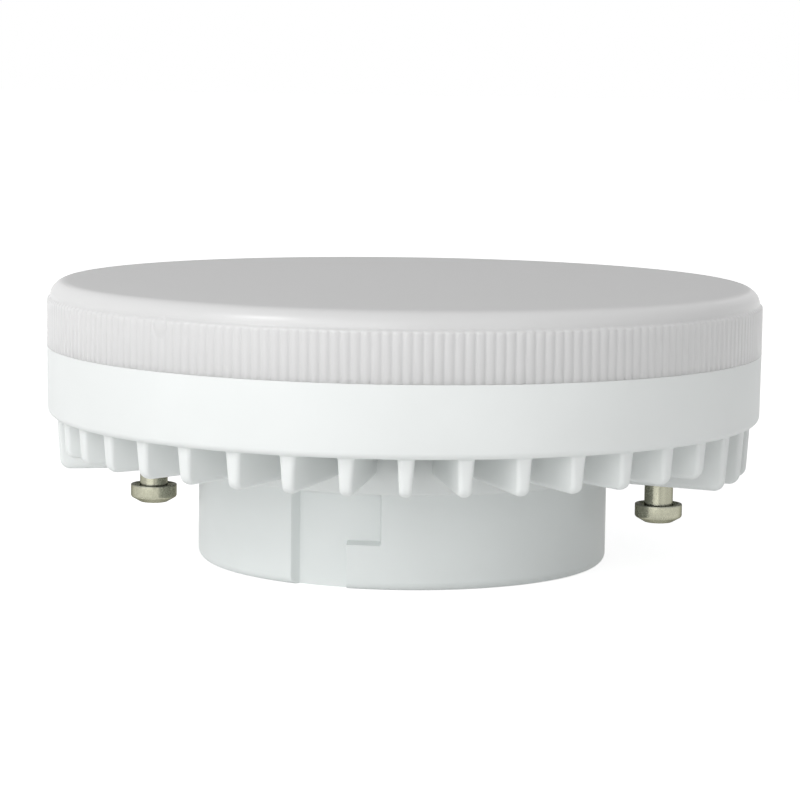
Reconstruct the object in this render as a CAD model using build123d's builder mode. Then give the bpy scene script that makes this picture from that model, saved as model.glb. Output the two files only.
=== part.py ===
from build123d import *
import os
from math import cos, radians, sin, tan

os.makedirs("parts", exist_ok=True)

# Replaceable two-pin disc lamp for a cabinet light, in millimetres.
# The origin is the centre of the boss's flat bottom, +Z runs up through the diffuser,
# and the two contact pins stand along X.

# Spacing of the contact pins, and how far the rim and the boss stand from them
PIN_SPACING = 53.0
PIN_TO_RIM = 10.0
BOSS_PIN_GAP = 3.1

# Heights of the visible steps, each counted from the one below
CAP_H = 9.4
COLLAR_H = 5.5
BAND_H = 6.95
SIDE_H = 4.85
SHOULDER = 1.85
CROWN = 1.0

# Diffuser
RIB_COUNT = 240
RIB_DEPTH = 0.25
RIB_STEP = 0.03
RIB_RUNOUT = 0.15
DIFFUSER_WALL = 1.3
GATE_R = 0.95
GATE_ANGLE = -119.5
SKIRT_CLEARANCE = 0.1
SKIRT_WALL = 1.2
SKIRT_GAP = 0.1
SNAP_RIDGE = 0.3
SNAP_CLEARANCE = 0.1

# Housing
BAND_WALL = 1.8
BAND_CORNER = 0.7
FLANGE_T = 1.5
SEAT_W = 1.5
COLLAR_PROUD = 0.25
COLLAR_WALL = 1.4
PILLAR_R = 2.2

# Cooling fins under the flange
FIN_COUNT = 40
FIN_PHASE = 1.5
FIN_H = 3.7
FIN_T = 1.6
FIN_DRAFT = 3.3
FIN_SETBACK = 1.0
FIN_TIP_CHAMFER = 0.35
FIN_CORNER = 0.6
FIN_EDGE = 0.38

# Base cap and its bayonet slots
CAP_FLOOR = 1.8
CAP_EDGE = 0.9
SPIGOT_H = 3.8
SPIGOT_WALL = 1.4
SPIGOT_CLEARANCE = 0.1
CATCH_DROP = 1.2
SHELF_H = 2.4
SHELF_W = 1.1
SLOT_DEPTH = 1.2
SLOT_ANGLE = -110.6
SLOT_ENTRY_SWEEP = 15.5
SLOT_SWEEP = 24.8
SLOT_LEDGE_Z = 4.55

# Contact pins
PIN_HEAD_R = 2.4
PIN_HEAD_H = 1.9
PIN_HEAD_EDGE = 0.45
PIN_NECK_R = 1.45
PIN_NECK_H = 4.7
PIN_SPIGOT_R = 1.1
PIN_BORE_CLEARANCE = 0.05
PIN_BOSS_R = 3.1
RIVET_R = 1.9
RIVET_H = 0.6
RIVET_EDGE = 0.3
TAG_T = 0.4
TAG_R = 2.7
TAG_TAIL_W = 2.2
TAG_TAIL_L = 2.6

# Insulated leads
LEAD_R = 0.5
LEAD_HOLE_CLEARANCE = 0.1
INPUT_LEAD_DROP = 3.7
INPUT_LEAD_BEND = 3.6
TAG_LEAD_GAP = 0.1
LED_LEAD_SPACING = 2.6
LED_LEAD_BEND = 1.2
LED_LEAD_REACH = 2.8

# Stack of plates under the diffuser
CAVITY_CLEARANCE = 0.2
SHEET_T = 0.3
SPREADER_T = 1.2
PAD_T = 0.3
LED_BOARD_T = 1.0
PLATE_CLEARANCE = 0.2
LED_BOARD_MARGIN = 3.4
LED_BOARD_NOTCH_R = 1.0
PAD_MARGIN = 2.0
CABLE_HOLE_MARGIN = 0.5
SCREW_INSET = 5.0
SCREW_COUNT = 3
SCREW_R = 1.2
SCREW_LENGTH = 5.2
SCREW_HEAD_R = 2.3
SCREW_HEAD_H = 1.5
SCREW_HEAD_EDGE = 0.4
SCREW_RECESS_W = 0.4
SCREW_HOLE_CLEARANCE = 0.2
THREAD_CLEARANCE = 0.03

# Light-emitting packages
LED_L = 3.5
LED_W = 2.8
LED_H = 0.7
LED_WINDOW_MARGIN = 0.35
LED_WINDOW_DEPTH = 0.12
LED_INNER_RING_R = 9.5
LED_INNER_COUNT = 6
LED_OUTER_INSET = 10.0
LED_OUTER_COUNT = 12

# Driver board and what stands on it
BOARD_T = 1.6
BOARD_CLEARANCE = 0.15
BOARD_INSET = 2.1
WIRE_R = 0.3
WIRE_HOLE_R = 0.45
WIRE_BELOW = 1.0
BOARD_SCREW_INSET = 3.2
BOARD_SCREW_R = 0.9
BOARD_SCREW_LENGTH = 3.6
BOARD_SCREW_HEAD_R = 1.7
BOARD_SCREW_HEAD_H = 1.2
POST_R = 2.0

# Driver components, placed round the board and counted in from its edge
CAN_CRIMP = 0.3
CAN_CRIMP_Z = 1.5
BULK_R = 3.2
BULK_HEADROOM = 0.6
BULK_ANGLE = 135
BULK_PITCH = 3.0
OUTPUT_CAP_R = 2.5
OUTPUT_CAP_H = 7.5
OUTPUT_CAP_ANGLE = 222
OUTPUT_CAP_PITCH = 2.0
FILM_L = 8.0
FILM_W = 4.0
FILM_H = 7.5
FILM_CORNER = 0.5
FILM_ANGLE = 47
FILM_PITCH = 5.0
COIL_CORE_R = 3.5
COIL_CORE_H = 8.5
COIL_CHEEK_T = 1.2
COIL_POST_R = 1.7
COIL_SINK = 0.4
COIL_CLEARANCE = 0.02
COIL_ANGLE = 308
COIL_PITCH = 4.0
FUSE_R = 1.3
FUSE_L = 6.4
FUSE_STAND = 1.4
FUSE_LOOP = 1.6
FUSE_PITCH = 2.6
FUSE_ANGLE = 0
FUSE_INSET = 7.0

# Flat packages soldered to the driver board
FOOT_T = 0.2
FOOT_REACH = 0.9
BRIDGE_L = 4.9
BRIDGE_W = 3.9
BRIDGE_H = 2.4
BRIDGE_FEET = 2
BRIDGE_PITCH = 2.5
BRIDGE_FOOT_W = 0.8
BRIDGE_INSET = 8.7
BRIDGE_ANGLE = 90
CHIP_L = 4.9
CHIP_W = 3.9
CHIP_H = 1.6
CHIP_FEET = 4
CHIP_PITCH = 1.27
CHIP_FOOT_W = 0.42
CHIP_INSET = 8.5
CHIP_ANGLE = 182
DIODE_L = 2.6
DIODE_W = 2.8
DIODE_H = 2.1
DIODE_FEET = 1
DIODE_FOOT_W = 1.4
DIODE_INSET = 8.0
DIODE_ANGLE = 258
RESISTOR_L = 2.0
RESISTOR_W = 1.25
RESISTOR_H = 0.5
RESISTOR_Y = -2.3
RESISTOR_SPACING = 1.65

# Heights and radii that follow from the sizes above
COLLAR_Z = CAP_H
FLANGE_Z = COLLAR_Z + COLLAR_H
FLANGE_TOP = FLANGE_Z + FLANGE_T
SEAM_Z = FLANGE_Z + BAND_H
SHOULDER_Z = SEAM_Z + SIDE_H
RIM_Z = SHOULDER_Z + SHOULDER
TOP_Z = RIM_Z + CROWN
PIN_X = PIN_SPACING / 2
OUTER_R = PIN_X + PIN_TO_RIM
BOSS_R = PIN_X - PIN_HEAD_R - BOSS_PIN_GAP
RIB_ROOT_R = OUTER_R - RIB_DEPTH
DOME_R = RIB_ROOT_R - RIB_STEP

SHEET_Z = FLANGE_TOP + TAG_T + 2 * LEAD_R + CAVITY_CLEARANCE
SPREADER_Z = SHEET_Z + SHEET_T
PAD_Z = SPREADER_Z + SPREADER_T
LED_BOARD_Z = PAD_Z + PAD_T
LED_Z = LED_BOARD_Z + LED_BOARD_T

BAND_BORE_R = OUTER_R - BAND_WALL
SEAT_R = BAND_BORE_R - SEAT_W
SKIRT_R = BAND_BORE_R - SKIRT_CLEARANCE
SKIRT_BORE_R = SKIRT_R - SKIRT_WALL
SKIRT_Z = PAD_Z + SKIRT_GAP
SNAP_Z = (SKIRT_Z + SEAM_Z) / 2
SNAP_GROOVE_R = SKIRT_R + SNAP_RIDGE + SNAP_CLEARANCE
PLATE_R = BAND_BORE_R - PLATE_CLEARANCE
LED_BOARD_R = SKIRT_BORE_R - LED_BOARD_MARGIN
PAD_R = LED_BOARD_R - PAD_MARGIN
SCREW_RING_R = LED_BOARD_R - SCREW_INSET
LED_OUTER_RING_R = LED_BOARD_R - LED_OUTER_INSET
CABLE_HOLE_R = LED_LEAD_SPACING / 2 + LED_LEAD_BEND + CABLE_HOLE_MARGIN

COLLAR_R = BOSS_R + COLLAR_PROUD
COLLAR_BORE_R = COLLAR_R - COLLAR_WALL
SPIGOT_R = COLLAR_BORE_R - SPIGOT_CLEARANCE
CAP_BORE_R = SPIGOT_R - SPIGOT_WALL
SPIGOT_TOP = CAP_H + SPIGOT_H
CATCH_Z = SPIGOT_TOP - CATCH_DROP
CATCH_GROOVE_R = SPIGOT_R + SNAP_RIDGE + SNAP_CLEARANCE
SHELF_R = CAP_BORE_R - SHELF_W

FIN_Z = FLANGE_Z - FIN_H
FIN_TIP_R = OUTER_R - FIN_SETBACK
FIN_ROOT_R = COLLAR_BORE_R + COLLAR_WALL / 2
FIN_LEAN = FIN_H * tan(radians(FIN_DRAFT))
PIN_NECK_Z = FIN_Z - PIN_NECK_H
PIN_HEAD_Z = PIN_NECK_Z - PIN_HEAD_H
TAG_TOP = FLANGE_TOP + TAG_T
RIVET_TOP = TAG_TOP + RIVET_H

BOARD_Z = CAP_FLOOR + SHELF_H
BOARD_TOP = BOARD_Z + BOARD_T
BOARD_R = CAP_BORE_R - BOARD_CLEARANCE
BOARD_SCREW_RING_R = BOARD_R - BOARD_SCREW_INSET
INPUT_LEAD_X = BOARD_R - INPUT_LEAD_DROP
LEAD_END_Z = BOARD_Z - WIRE_BELOW

SCREW_ANGLES = [90 + turn * 360 / SCREW_COUNT for turn in range(SCREW_COUNT)]
BOARD_SCREW_ANGLES = (90, 270)
SIDES = {"left": -1, "right": 1}
LED_POLES = {"minus": -1, "plus": 1}


def polar(radius, angle):
    """Point at a radius and an angle in degrees, seen from above."""
    return (radius * cos(radians(angle)), radius * sin(radians(angle)))


def sector_outline(inner, outer, start, size):
    """Draws the outline of a ring sector in the line builder that is open."""
    near = CenterArc((0, 0), inner, start, size)
    far = CenterArc((0, 0), outer, start, size)
    Line(near @ 0, far @ 0)
    Line(near @ 1, far @ 1)


def dome_outline(radius, bottom, shoulder_z, corner, top):
    """Draws half the section of a round cover with a rounded shoulder and a crowned top."""
    side = Line((radius, bottom), (radius, shoulder_z))
    shoulder = CenterArc((radius - corner, shoulder_z), corner, 0, 90)
    rim = shoulder @ 1
    rise = top - rim.Y
    crown = RadiusArc((0, top), rim, -(rim.X**2 + rise**2) / (2 * rise))
    axis = Line(crown @ 0, (0, bottom))
    Line(axis @ 1, side @ 0)


def ridge(radius, z, height):
    """Points of a snap ridge or groove with 45 degree sides, from its lower edge to its upper one."""
    return [(radius, z - abs(height)), (radius + height, z), (radius, z + abs(height))]


def rib_points():
    """Points of the diffuser's toothed outline: a crest and a groove for each rib."""
    step = 360 / RIB_COUNT
    radii = (OUTER_R, RIB_ROOT_R)
    return [polar(radii[i % 2], i * step / 2) for i in range(2 * RIB_COUNT)]


def wire_pair(centre, angle, pitch):
    """Places of a component's two wires, on a line at an angle through its centre."""
    dx, dy = polar(pitch / 2, angle)
    return [(centre[0] - dx, centre[1] - dy), (centre[0] + dx, centre[1] + dy)]


# Diffuser: one frosted moulding, ribbed round its side, with a skirt that snaps in to the band
with BuildPart() as diffuser:
    with BuildSketch(Plane.XZ):
        with BuildLine():
            dome_outline(DOME_R, SEAM_Z, SHOULDER_Z, SHOULDER, TOP_Z)
        make_face()
    revolve(axis=Axis.Z)
    with BuildSketch(Plane.XY.offset(SEAM_Z)):
        with BuildLine():
            Polyline(*rib_points(), close=True)
        make_face()
    extrude(amount=SIDE_H + RIB_RUNOUT)
    with BuildSketch(Plane.XZ):
        with BuildLine():
            Polyline((0, SKIRT_Z), (SKIRT_R, SKIRT_Z), *ridge(SKIRT_R, SNAP_Z, SNAP_RIDGE),
                     (SKIRT_R, SEAM_Z + DIFFUSER_WALL), (0, SEAM_Z + DIFFUSER_WALL), close=True)
        make_face()
    revolve(axis=Axis.Z)
    with BuildSketch(Plane.XZ):
        with BuildLine():
            dome_outline(SKIRT_BORE_R, SKIRT_Z, SHOULDER_Z - DIFFUSER_WALL, SHOULDER,
                         TOP_Z - DIFFUSER_WALL)
        make_face()
    revolve(axis=Axis.Z, mode=Mode.SUBTRACT)
    gate_direction = polar(1, GATE_ANGLE)
    gate_plane = Plane(
        origin=(gate_direction[0] * OUTER_R, gate_direction[1] * OUTER_R, SHOULDER_Z - GATE_R / 2),
        z_dir=(-gate_direction[0], -gate_direction[1], 0),
    )
    with BuildSketch(gate_plane):
        Circle(GATE_R)
    extrude(amount=DIFFUSER_WALL)

diffuser.part.label = "diffuser"
export_step(diffuser.part, "parts/diffuser.step")


# One cooling fin at angle zero, where its plan, its drafted section and its side view meet
with BuildPart() as fin:
    with BuildSketch(Plane.XY.offset(FIN_Z)) as fin_plan:
        with Locations((FIN_ROOT_R, 0)):
            Rectangle(FIN_TIP_R - FIN_ROOT_R, FIN_T, align=(Align.MIN, Align.CENTER))
        chamfer(fin_plan.vertices().group_by(Axis.X)[-1], FIN_TIP_CHAMFER)
    extrude(amount=FIN_H)
    with BuildSketch(Plane.YZ.offset(FIN_ROOT_R)) as fin_section:
        with BuildLine():
            Polyline((-FIN_T / 2, FLANGE_Z), (FIN_T / 2, FLANGE_Z), (FIN_T / 2 - FIN_LEAN, FIN_Z),
                     (FIN_LEAN - FIN_T / 2, FIN_Z), close=True)
        make_face()
        fillet(fin_section.vertices().group_by(Axis.Y)[0], FIN_EDGE)
    extrude(amount=FIN_TIP_R - FIN_ROOT_R, mode=Mode.INTERSECT)
    with BuildSketch(Plane.XZ) as fin_side:
        with BuildLine():
            Polyline((FIN_ROOT_R, FLANGE_Z), (FIN_TIP_R, FLANGE_Z), (FIN_TIP_R - FIN_LEAN, FIN_Z),
                     (FIN_ROOT_R, FIN_Z), close=True)
        make_face()
        fillet(fin_side.vertices().sort_by_distance((FIN_TIP_R, FIN_Z))[0], FIN_CORNER)
    extrude(amount=FIN_T, both=True, mode=Mode.INTERSECT)


# Housing: band, flange, fins, collar, screw pillars and pin bosses in one moulding
with BuildPart() as housing:
    with BuildSketch(Plane.XZ) as housing_section:
        with BuildLine():
            Polyline((COLLAR_BORE_R, COLLAR_Z), (COLLAR_R, COLLAR_Z), (COLLAR_R, FLANGE_Z),
                     (OUTER_R, FLANGE_Z), (OUTER_R, SEAM_Z), (BAND_BORE_R, SEAM_Z),
                     *reversed(ridge(BAND_BORE_R, SNAP_Z, SNAP_GROOVE_R - BAND_BORE_R)),
                     (BAND_BORE_R, SHEET_Z), (SEAT_R, SHEET_Z), (SEAT_R, FLANGE_TOP),
                     (COLLAR_BORE_R, FLANGE_TOP),
                     *reversed(ridge(COLLAR_BORE_R, CATCH_Z, CATCH_GROOVE_R - COLLAR_BORE_R)),
                     close=True)
        make_face()
        fillet(housing_section.vertices().sort_by_distance((OUTER_R, FLANGE_Z))[0], BAND_CORNER)
    revolve(axis=Axis.Z)
    with PolarLocations(0, FIN_COUNT, start_angle=FIN_PHASE):
        add(fin.part)
    with BuildSketch(Plane.XY.offset(FLANGE_TOP)):
        with Locations(*[polar(SCREW_RING_R, angle) for angle in SCREW_ANGLES]):
            Circle(PILLAR_R)
    extrude(amount=SHEET_Z - FLANGE_TOP)
    with BuildSketch(Plane.XY.offset(FIN_Z)):
        with Locations((-PIN_X, 0), (PIN_X, 0)):
            Circle(PIN_BOSS_R)
    extrude(amount=FIN_H)
    with BuildSketch(Plane.XY.offset(FIN_Z)):
        with Locations((-PIN_X, 0), (PIN_X, 0)):
            Circle(PIN_SPIGOT_R + PIN_BORE_CLEARANCE)
    extrude(amount=FIN_H + FLANGE_T, mode=Mode.SUBTRACT)
    with BuildSketch(Plane.XY.offset(SHEET_Z)):
        with Locations(*[polar(SCREW_RING_R, angle) for angle in SCREW_ANGLES]):
            Circle(SCREW_R + THREAD_CLEARANCE)
    extrude(amount=-(SCREW_LENGTH + SHEET_Z - LED_Z + THREAD_CLEARANCE), mode=Mode.SUBTRACT)

housing.part.label = "housing"
export_step(housing.part, "parts/housing.step")


# Base cap: the lamp's centre boss, with two L-shaped slots that the holder's lugs turn into
with BuildPart() as base_cap:
    with BuildSketch(Plane.XZ) as cap_section:
        with BuildLine():
            Polyline((0, 0), (BOSS_R, 0), (BOSS_R, CAP_H), (SPIGOT_R, CAP_H),
                     *ridge(SPIGOT_R, CATCH_Z, SNAP_RIDGE), (SPIGOT_R, SPIGOT_TOP),
                     (CAP_BORE_R, SPIGOT_TOP), (CAP_BORE_R, BOARD_Z), (SHELF_R, BOARD_Z),
                     (SHELF_R, CAP_FLOOR), (0, CAP_FLOOR), close=True)
        make_face()
        fillet(cap_section.vertices().sort_by_distance((BOSS_R, 0))[0], CAP_EDGE)
    revolve(axis=Axis.Z)
    for half_turn in (0, 180):
        with BuildSketch(Plane.XY):
            with BuildLine():
                sector_outline(BOSS_R - SLOT_DEPTH, BOSS_R + SLOT_DEPTH,
                               SLOT_ANGLE + half_turn, SLOT_ENTRY_SWEEP)
            make_face()
        extrude(amount=CAP_H, mode=Mode.SUBTRACT)
        with BuildSketch(Plane.XY.offset(SLOT_LEDGE_Z)):
            with BuildLine():
                sector_outline(BOSS_R - SLOT_DEPTH, BOSS_R + SLOT_DEPTH,
                               SLOT_ANGLE + half_turn, SLOT_SWEEP)
            make_face()
        extrude(amount=CAP_H - SLOT_LEDGE_Z, mode=Mode.SUBTRACT)
    with BuildSketch(Plane.XY.offset(CAP_FLOOR)):
        with Locations(*[polar(BOARD_SCREW_RING_R, angle) for angle in BOARD_SCREW_ANGLES]):
            Circle(POST_R)
    extrude(amount=SHELF_H)
    with BuildSketch(Plane.XY.offset(BOARD_Z)):
        with Locations(*[polar(BOARD_SCREW_RING_R, angle) for angle in BOARD_SCREW_ANGLES]):
            Circle(BOARD_SCREW_R + THREAD_CLEARANCE)
    extrude(amount=-(BOARD_SCREW_LENGTH - BOARD_T + THREAD_CLEARANCE), mode=Mode.SUBTRACT)

base_cap.part.label = "base_cap"
export_step(base_cap.part, "parts/base_cap.step")


# Contact pins: turned heads and necks, riveted over a solder tag inside the housing
for side, sign in SIDES.items():
    pin_axis = Axis((sign * PIN_X, 0, 0), (0, 0, 1))
    pin_plane = Plane(origin=(sign * PIN_X, 0, 0), x_dir=(1, 0, 0), z_dir=(0, -1, 0))
    with BuildPart() as contact_pin:
        with BuildSketch(pin_plane) as pin_section:
            with BuildLine():
                Polyline((0, PIN_HEAD_Z), (PIN_HEAD_R, PIN_HEAD_Z), (PIN_HEAD_R, PIN_NECK_Z),
                         (PIN_NECK_R, PIN_NECK_Z), (PIN_NECK_R, FIN_Z), (PIN_SPIGOT_R, FIN_Z),
                         (PIN_SPIGOT_R, TAG_TOP), (RIVET_R, TAG_TOP), (RIVET_R, RIVET_TOP),
                         (0, RIVET_TOP), close=True)
            make_face()
            fillet(pin_section.vertices().sort_by_distance((PIN_HEAD_R, PIN_HEAD_Z))[0], PIN_HEAD_EDGE)
            chamfer(pin_section.vertices().sort_by_distance((RIVET_R, RIVET_TOP))[0], RIVET_EDGE)
        revolve(axis=pin_axis)
    contact_pin.part.label = f"contact_pin_{side}"
    export_step(contact_pin.part, f"parts/contact_pin_{side}.step")

    with BuildPart() as tag:
        with BuildSketch(Plane.XY.offset(FLANGE_TOP)):
            with Locations((sign * PIN_X, 0)):
                Circle(TAG_R)
            with Locations((sign * (PIN_X - (TAG_R + TAG_TAIL_L) / 2), 0)):
                SlotOverall(TAG_R + TAG_TAIL_L, TAG_TAIL_W)
            with Locations((sign * PIN_X, 0)):
                Circle(PIN_SPIGOT_R + PIN_BORE_CLEARANCE, mode=Mode.SUBTRACT)
        extrude(amount=TAG_T)
    tag.part.label = f"tag_{side}"
    export_step(tag.part, f"parts/tag_{side}.step")

    lead_z = TAG_TOP + LEAD_R
    with BuildPart() as input_lead:
        with BuildLine() as lead_route:
            FilletPolyline((sign * (PIN_X - RIVET_R - TAG_LEAD_GAP), 0, lead_z),
                           (sign * INPUT_LEAD_X, 0, lead_z),
                           (sign * INPUT_LEAD_X, 0, LEAD_END_Z), radius=INPUT_LEAD_BEND)
        with BuildSketch(Plane(origin=lead_route.line @ 0, z_dir=lead_route.line % 0)):
            Circle(LEAD_R)
        sweep()
    input_lead.part.label = f"input_lead_{side}"
    export_step(input_lead.part, f"parts/input_lead_{side}.step")


# Plates between the driver and the diffuser: each has the cable hole and the screw holes
with BuildPart() as insulating_sheet:
    with BuildSketch(Plane.XY.offset(SHEET_Z)):
        Circle(PLATE_R)
        Circle(CABLE_HOLE_R, mode=Mode.SUBTRACT)
        with Locations(*[polar(SCREW_RING_R, angle) for angle in SCREW_ANGLES]):
            Circle(SCREW_R + SCREW_HOLE_CLEARANCE, mode=Mode.SUBTRACT)
    extrude(amount=SHEET_T)

insulating_sheet.part.label = "insulating_sheet"
export_step(insulating_sheet.part, "parts/insulating_sheet.step")

with BuildPart() as heat_spreader:
    with BuildSketch(Plane.XY.offset(SPREADER_Z)):
        Circle(PLATE_R)
        Circle(CABLE_HOLE_R, mode=Mode.SUBTRACT)
        with Locations(*[polar(SCREW_RING_R, angle) for angle in SCREW_ANGLES]):
            Circle(SCREW_R + SCREW_HOLE_CLEARANCE, mode=Mode.SUBTRACT)
    extrude(amount=SPREADER_T)

heat_spreader.part.label = "heat_spreader"
export_step(heat_spreader.part, "parts/heat_spreader.step")

with BuildPart() as thermal_pad:
    with BuildSketch(Plane.XY.offset(PAD_Z)):
        Circle(PAD_R)
        Circle(CABLE_HOLE_R, mode=Mode.SUBTRACT)
        with Locations(*[polar(SCREW_RING_R, angle) for angle in SCREW_ANGLES]):
            Circle(SCREW_R + SCREW_HOLE_CLEARANCE, mode=Mode.SUBTRACT)
    extrude(amount=PAD_T)

thermal_pad.part.label = "thermal_pad"
export_step(thermal_pad.part, "parts/thermal_pad.step")

with BuildPart() as led_board:
    with BuildSketch(Plane.XY.offset(LED_BOARD_Z)):
        Circle(LED_BOARD_R)
        Circle(CABLE_HOLE_R, mode=Mode.SUBTRACT)
        with Locations(*[polar(SCREW_RING_R, angle) for angle in SCREW_ANGLES]):
            Circle(SCREW_R + SCREW_HOLE_CLEARANCE, mode=Mode.SUBTRACT)
        with Locations((-LED_BOARD_R, 0), (LED_BOARD_R, 0)):
            Circle(LED_BOARD_NOTCH_R, mode=Mode.SUBTRACT)
    extrude(amount=LED_BOARD_T)

led_board.part.label = "led_board"
export_step(led_board.part, "parts/led_board.step")


# Light-emitting packages, numbered round the inner ring and then round the outer one
inner_leds = [(LED_INNER_RING_R, (i + 0.5) * 360 / LED_INNER_COUNT) for i in range(LED_INNER_COUNT)]
outer_leds = [(LED_OUTER_RING_R, (i + 0.5) * 360 / LED_OUTER_COUNT) for i in range(LED_OUTER_COUNT)]
for number, (ring, angle) in enumerate(inner_leds + outer_leds, start=1):
    led_plane = Plane(origin=(*polar(ring, angle), LED_Z), x_dir=(*polar(1, angle + 90), 0))
    with BuildPart() as led:
        with BuildSketch(led_plane):
            Rectangle(LED_L, LED_W)
        extrude(amount=LED_H)
        with BuildSketch(led_plane.offset(LED_H)):
            Rectangle(LED_L - 2 * LED_WINDOW_MARGIN, LED_W - 2 * LED_WINDOW_MARGIN)
        extrude(amount=-LED_WINDOW_DEPTH, mode=Mode.SUBTRACT)
    led.part.label = f"led_{number:02d}"
    export_step(led.part, f"parts/led_{number:02d}.step")


def pan_screws(places, seat_z, radius, length, head_radius, head_height):
    """Cross-recessed pan-head screws at several places, their heads seated at one height."""
    with BuildPart() as screws:
        with BuildSketch(Plane.XY.offset(seat_z)):
            with Locations(*places):
                Circle(radius)
        extrude(amount=-length)
        with BuildSketch(Plane.XY.offset(seat_z)):
            with Locations(*places):
                Circle(head_radius)
        extrude(amount=head_height)
        chamfer(screws.faces().filter_by(Axis.Z).group_by(Axis.Z)[-1].edges(), SCREW_HEAD_EDGE)
        with BuildSketch(Plane.XY.offset(seat_z + head_height)):
            with Locations(*places):
                Rectangle(head_radius, SCREW_RECESS_W)
                Rectangle(SCREW_RECESS_W, head_radius)
        extrude(amount=-head_height / 2, mode=Mode.SUBTRACT)
    return screws.part


led_board_screws = pan_screws(
    [polar(SCREW_RING_R, angle) for angle in SCREW_ANGLES],
    LED_Z, SCREW_R, SCREW_LENGTH, SCREW_HEAD_R, SCREW_HEAD_H,
)
led_board_screws.label = "led_board_screws"
export_step(led_board_screws, "parts/led_board_screws.step")

driver_board_screws = pan_screws(
    [polar(BOARD_SCREW_RING_R, angle) for angle in BOARD_SCREW_ANGLES],
    BOARD_TOP, BOARD_SCREW_R, BOARD_SCREW_LENGTH, BOARD_SCREW_HEAD_R, BOARD_SCREW_HEAD_H,
)
driver_board_screws.label = "driver_board_screws"
export_step(driver_board_screws, "parts/driver_board_screws.step")


# Leads from the driver board, up through the plates and out on to the LED board
for pole, sign in LED_POLES.items():
    lead_x = sign * LED_LEAD_SPACING / 2
    lead_end_x = sign * (CABLE_HOLE_R + LED_LEAD_REACH)
    with BuildPart() as led_lead:
        with BuildLine() as lead_route:
            FilletPolyline((lead_x, 0, LEAD_END_Z), (lead_x, 0, LED_Z + LEAD_R),
                           (lead_end_x, 0, LED_Z + LEAD_R), radius=LED_LEAD_BEND)
        with BuildSketch(Plane(origin=lead_route.line @ 0, z_dir=lead_route.line % 0)):
            Circle(LEAD_R)
        sweep()
    led_lead.part.label = f"led_lead_{pole}"
    export_step(led_lead.part, f"parts/led_lead_{pole}.step")


# Places of the driver components and of their wires, and the height left for the tallest
BULK_H = SHEET_Z - BOARD_TOP - BULK_HEADROOM
BULK_AT = polar(BOARD_R - BOARD_INSET - BULK_R, BULK_ANGLE)
OUTPUT_CAP_AT = polar(BOARD_R - BOARD_INSET - OUTPUT_CAP_R, OUTPUT_CAP_ANGLE)
FILM_AT = polar(BOARD_R - BOARD_INSET - FILM_W / 2, FILM_ANGLE)
COIL_AT = polar(BOARD_R - BOARD_INSET - COIL_CORE_R, COIL_ANGLE)
FUSE_AT = polar(BOARD_R - FUSE_INSET - FUSE_PITCH / 2, FUSE_ANGLE)

BULK_WIRES = wire_pair(BULK_AT, BULK_ANGLE + 90, BULK_PITCH)
OUTPUT_CAP_WIRES = wire_pair(OUTPUT_CAP_AT, OUTPUT_CAP_ANGLE + 90, OUTPUT_CAP_PITCH)
FILM_WIRES = wire_pair(FILM_AT, FILM_ANGLE + 90, FILM_PITCH)
COIL_WIRES = wire_pair(COIL_AT, COIL_ANGLE + 90, COIL_PITCH)
FUSE_WIRES = wire_pair(FUSE_AT, FUSE_ANGLE + 90, FUSE_PITCH)
ALL_WIRES = BULK_WIRES + OUTPUT_CAP_WIRES + FILM_WIRES + COIL_WIRES + FUSE_WIRES
LEAD_HOLES = [(x, 0) for x in (-INPUT_LEAD_X, -LED_LEAD_SPACING / 2, LED_LEAD_SPACING / 2, INPUT_LEAD_X)]

with BuildPart() as driver_board:
    with BuildSketch(Plane.XY.offset(BOARD_Z)):
        Circle(BOARD_R)
        with Locations(*[polar(BOARD_SCREW_RING_R, angle) for angle in BOARD_SCREW_ANGLES]):
            Circle(BOARD_SCREW_R + SCREW_HOLE_CLEARANCE, mode=Mode.SUBTRACT)
        with Locations(*ALL_WIRES):
            Circle(WIRE_HOLE_R, mode=Mode.SUBTRACT)
        with Locations(*LEAD_HOLES):
            Circle(LEAD_R + LEAD_HOLE_CLEARANCE, mode=Mode.SUBTRACT)
    extrude(amount=BOARD_T)

driver_board.part.label = "driver_board"
export_step(driver_board.part, "parts/driver_board.step")


def can_capacitor(centre, radius, height, wires):
    """Electrolytic capacitor: a crimped round can that stands on the board on two wires."""
    axis = Axis((*centre, 0), (0, 0, 1))
    section_plane = Plane(origin=(*centre, BOARD_TOP), x_dir=(1, 0, 0), z_dir=(0, -1, 0))
    with BuildPart() as can:
        with BuildSketch(section_plane) as can_section:
            Rectangle(radius, height, align=(Align.MIN, Align.MIN))
            chamfer(can_section.vertices().group_by(Axis.X)[-1], CAN_CRIMP)
            with Locations((radius, CAN_CRIMP_Z)):
                Rectangle(CAN_CRIMP, CAN_CRIMP, rotation=45, mode=Mode.SUBTRACT)
            with Locations((0, height)):
                Rectangle(radius - 3 * CAN_CRIMP, CAN_CRIMP, align=(Align.MIN, Align.MAX), mode=Mode.SUBTRACT)
        revolve(axis=axis)
        with BuildSketch(Plane.XY.offset(LEAD_END_Z)):
            with Locations(*wires):
                Circle(WIRE_R)
        extrude(amount=BOARD_TOP - LEAD_END_Z + CAN_CRIMP)
    return can.part


bulk_capacitor = can_capacitor(BULK_AT, BULK_R, BULK_H, BULK_WIRES)
bulk_capacitor.label = "bulk_capacitor"
export_step(bulk_capacitor, "parts/bulk_capacitor.step")

output_capacitor = can_capacitor(OUTPUT_CAP_AT, OUTPUT_CAP_R, OUTPUT_CAP_H, OUTPUT_CAP_WIRES)
output_capacitor.label = "output_capacitor"
export_step(output_capacitor, "parts/output_capacitor.step")

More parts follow.
